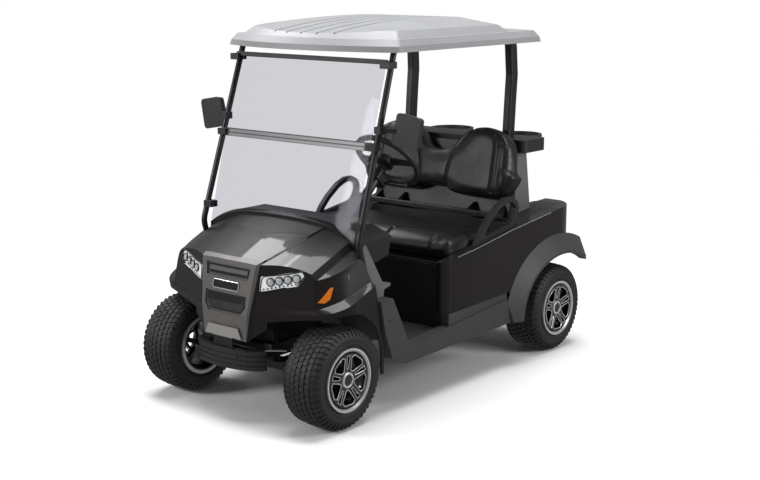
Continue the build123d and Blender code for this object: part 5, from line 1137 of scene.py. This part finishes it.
# %% Floor mat ribs
RIB_STEP = 24
RIB_RADIUS = 0.0028
FLAT_ENOUGH = 0.004
ribs = []
for number in range(11):
    line = [touch("floor_pan", mm(x, 450 + RIB_STEP * number, 420), -UP)[0]
            for x in (-440, -220, 0, 200, 440)]
    heights = [place.z for place in line if place is not None]
    if len(heights) == len(line) and max(heights) - min(heights) < FLAT_ENOUGH:
        ribs.append(rod(f"mat_rib_{number}", line, RIB_RADIUS, smooth=False))
print("mat ribs", len(ribs))
settle(join("mat_ribs", ribs), "cart", FLOOR_RUBBER)

# %% [markdown]
# ## Fasteners
#
# Round-headed bolts hold the rocker legs, the seat base and the bumpers, one on each side. A
# head is turned on the lathe at each place, seated on the surface there and square to it.

# %% Bolt heads
BOLT_HEAD = [(-0.001, 0.0), (-0.001, 0.0075), (0.0012, 0.0075), (0.0035, 0.0062),
             (0.0046, 0.0036), (0.0048, 0.0)]
BOLT_PLACES = (("rockers", 700, 275, 447, OUT), ("seat_base", 300, 600, 560, FORWARD),
               ("front_bumper", 90, -500, 300, FORWARD), ("rear_bumper", 150, 2400, 330, -FORWARD))
bolts = []
for node, x, station, z, outwards in BOLT_PLACES:
    for side in (1, -1):
        towards = Vector((-side * outwards.x, -outwards.y, -outwards.z))
        seat_place, facing = touch(node, mm(side * x, station, z), towards)
        side_way = UP if abs(facing.z) < 0.9 else OUT
        side_way = (side_way - facing * side_way.dot(facing)).normalized()
        bolts.append(lathe(f"bolt_{len(bolts)}", BOLT_HEAD, seat_place, facing, side_way, 14))
print("bolts", len(bolts))
settle(join("bolt_heads", bolts), "cart", FORGED)

# %% [markdown]
# ## Studio, lamps and camera
#
# The photograph was taken in a white studio: a large light overhead, weaker ones at the
# sides, and a floor that is as white as the wall. The floor fades into plain white away from
# the cart. Dark gloss paint would mirror all that white and look grey, so rays that leave a
# glossy surface see the floor and the wall dimmed, as dark screens beside the cart would do.
# The camera stands at the cart's front left, a little above the hood, with a long lens.

# %% Studio floor
floor = begin("plane", "studio_floor", size=60, location=(0, 0, 0))
material, tree, output = new_finish("White studio paper")
path = add(tree, "ShaderNodeLightPath")
place = add(tree, "ShaderNodeTexCoord").outputs["Object"]
away = add(tree, "ShaderNodeVectorMath", {"operation": "LENGTH"}, {0: place})
far = add(tree, "ShaderNodeMapRange", {"interpolation_type": "SMOOTHSTEP", "From Min": 1.6,
                                       "From Max": 3.4}, {"Value": away.outputs["Value"]})
seen_far = add(tree, "ShaderNodeMath", {"operation": "MAXIMUM"},
               {0: path.outputs["Is Transmission Ray"], 1: far.outputs["Result"]})
dimmer = add(tree, "ShaderNodeMath", {"operation": "MULTIPLY_ADD", 1: -0.72, 2: 1.0},
             {0: path.outputs["Is Glossy Ray"]})
paper = add(tree, "ShaderNodeBsdfDiffuse", {"Color": linear("f4f4f4")})
white = add(tree, "ShaderNodeEmission", {"Color": linear("ffffff")},
            {"Strength": dimmer.outputs[0]})
mixed = add(tree, "ShaderNodeMixShader", {}, {0: seen_far.outputs[0],
                                              1: paper.outputs["BSDF"],
                                              2: white.outputs["Emission"]})
dark = add(tree, "ShaderNodeEmission", {"Color": linear("ffffff"), "Strength": 0.28})
final = add(tree, "ShaderNodeMixShader", {}, {0: path.outputs["Is Glossy Ray"],
                                              1: mixed.outputs["Shader"],
                                              2: dark.outputs["Emission"]})
tree.links.new(final.outputs["Shader"], output.inputs["Surface"])
floor.data.materials.append(material)
print("studio floor", floor.dimensions.x, "m across")

# %% Studio wall
scene = bpy.context.scene
world = bpy.data.worlds.new("Studio white")
scene.world = world
world.use_nodes = True
tree = world.node_tree
tree.nodes.clear()
path = add(tree, "ShaderNodeLightPath")
seen = add(tree, "ShaderNodeMath", {"operation": "MAXIMUM"},
           {0: path.outputs["Is Camera Ray"], 1: path.outputs["Is Transmission Ray"]})
ambient = add(tree, "ShaderNodeMath", {"operation": "MULTIPLY_ADD", 1: 0.02, 2: 0.24},
              {0: path.outputs["Is Glossy Ray"]})
strength = add(tree, "ShaderNodeMath", {"operation": "MAXIMUM"},
               {0: seen.outputs[0], 1: ambient.outputs[0]})
back = add(tree, "ShaderNodeBackground", {"Color": linear("ffffff")},
           {"Strength": strength.outputs[0]})
add(tree, "ShaderNodeOutputWorld", {}, {"Surface": back.outputs["Background"]})
print("world", world.name)


# %% Lamps
def lamp(name, place, target, size, power):
    """A square soft lamp at a place, turned to face a target."""
    light = bpy.data.lights.new(name, "AREA")
    light.shape = "SQUARE"
    light.size = size
    light.energy = power
    holder = bpy.data.objects.new(name, light)
    scene.collection.objects.link(holder)
    holder.location = place
    holder.rotation_euler = (Vector(target) - Vector(place)).to_track_quat("-Z", "Y").to_euler()
    print("lamp", name, "of", power, "W")


lamp("overhead", (0.2, 0.2, 4.4), (0, 0, 0.6), 3.0, 250)
lamp("left_side", (4.4, 1.4, 2.4), (0, 0.2, 0.8), 1.4, 95)
lamp("front", (-2.4, -4.6, 2.4), (0, -0.7, 0.6), 1.2, 120)
lamp("hood_soft", (-2.4, -0.3, 4.0), (0, -0.9, 0.7), 1.7, 90)

# %% Camera
CAMERA_PLACE = Vector((4.2692, -5.1542, 2.0158))
CAMERA_AZIMUTH = radians(39.585)
CAMERA_ELEVATION = radians(11.580)
FOCAL_PIXELS = 1355.88
PICTURE_WIDTH = 760
SENSOR_MM = 36

camera_data = bpy.data.cameras.new("photo")
camera_data.sensor_width = SENSOR_MM
camera_data.lens = SENSOR_MM * FOCAL_PIXELS / PICTURE_WIDTH
camera = bpy.data.objects.new("photo", camera_data)
scene.collection.objects.link(camera)
facing = Vector((-sin(CAMERA_AZIMUTH) * cos(CAMERA_ELEVATION),
                 cos(CAMERA_AZIMUTH) * cos(CAMERA_ELEVATION), -sin(CAMERA_ELEVATION)))
camera.location = CAMERA_PLACE
camera.rotation_euler = facing.to_track_quat("-Z", "Y").to_euler()
scene.camera = camera
scene.view_settings.view_transform = "Standard"
print("lens", round(camera_data.lens, 1), "mm")
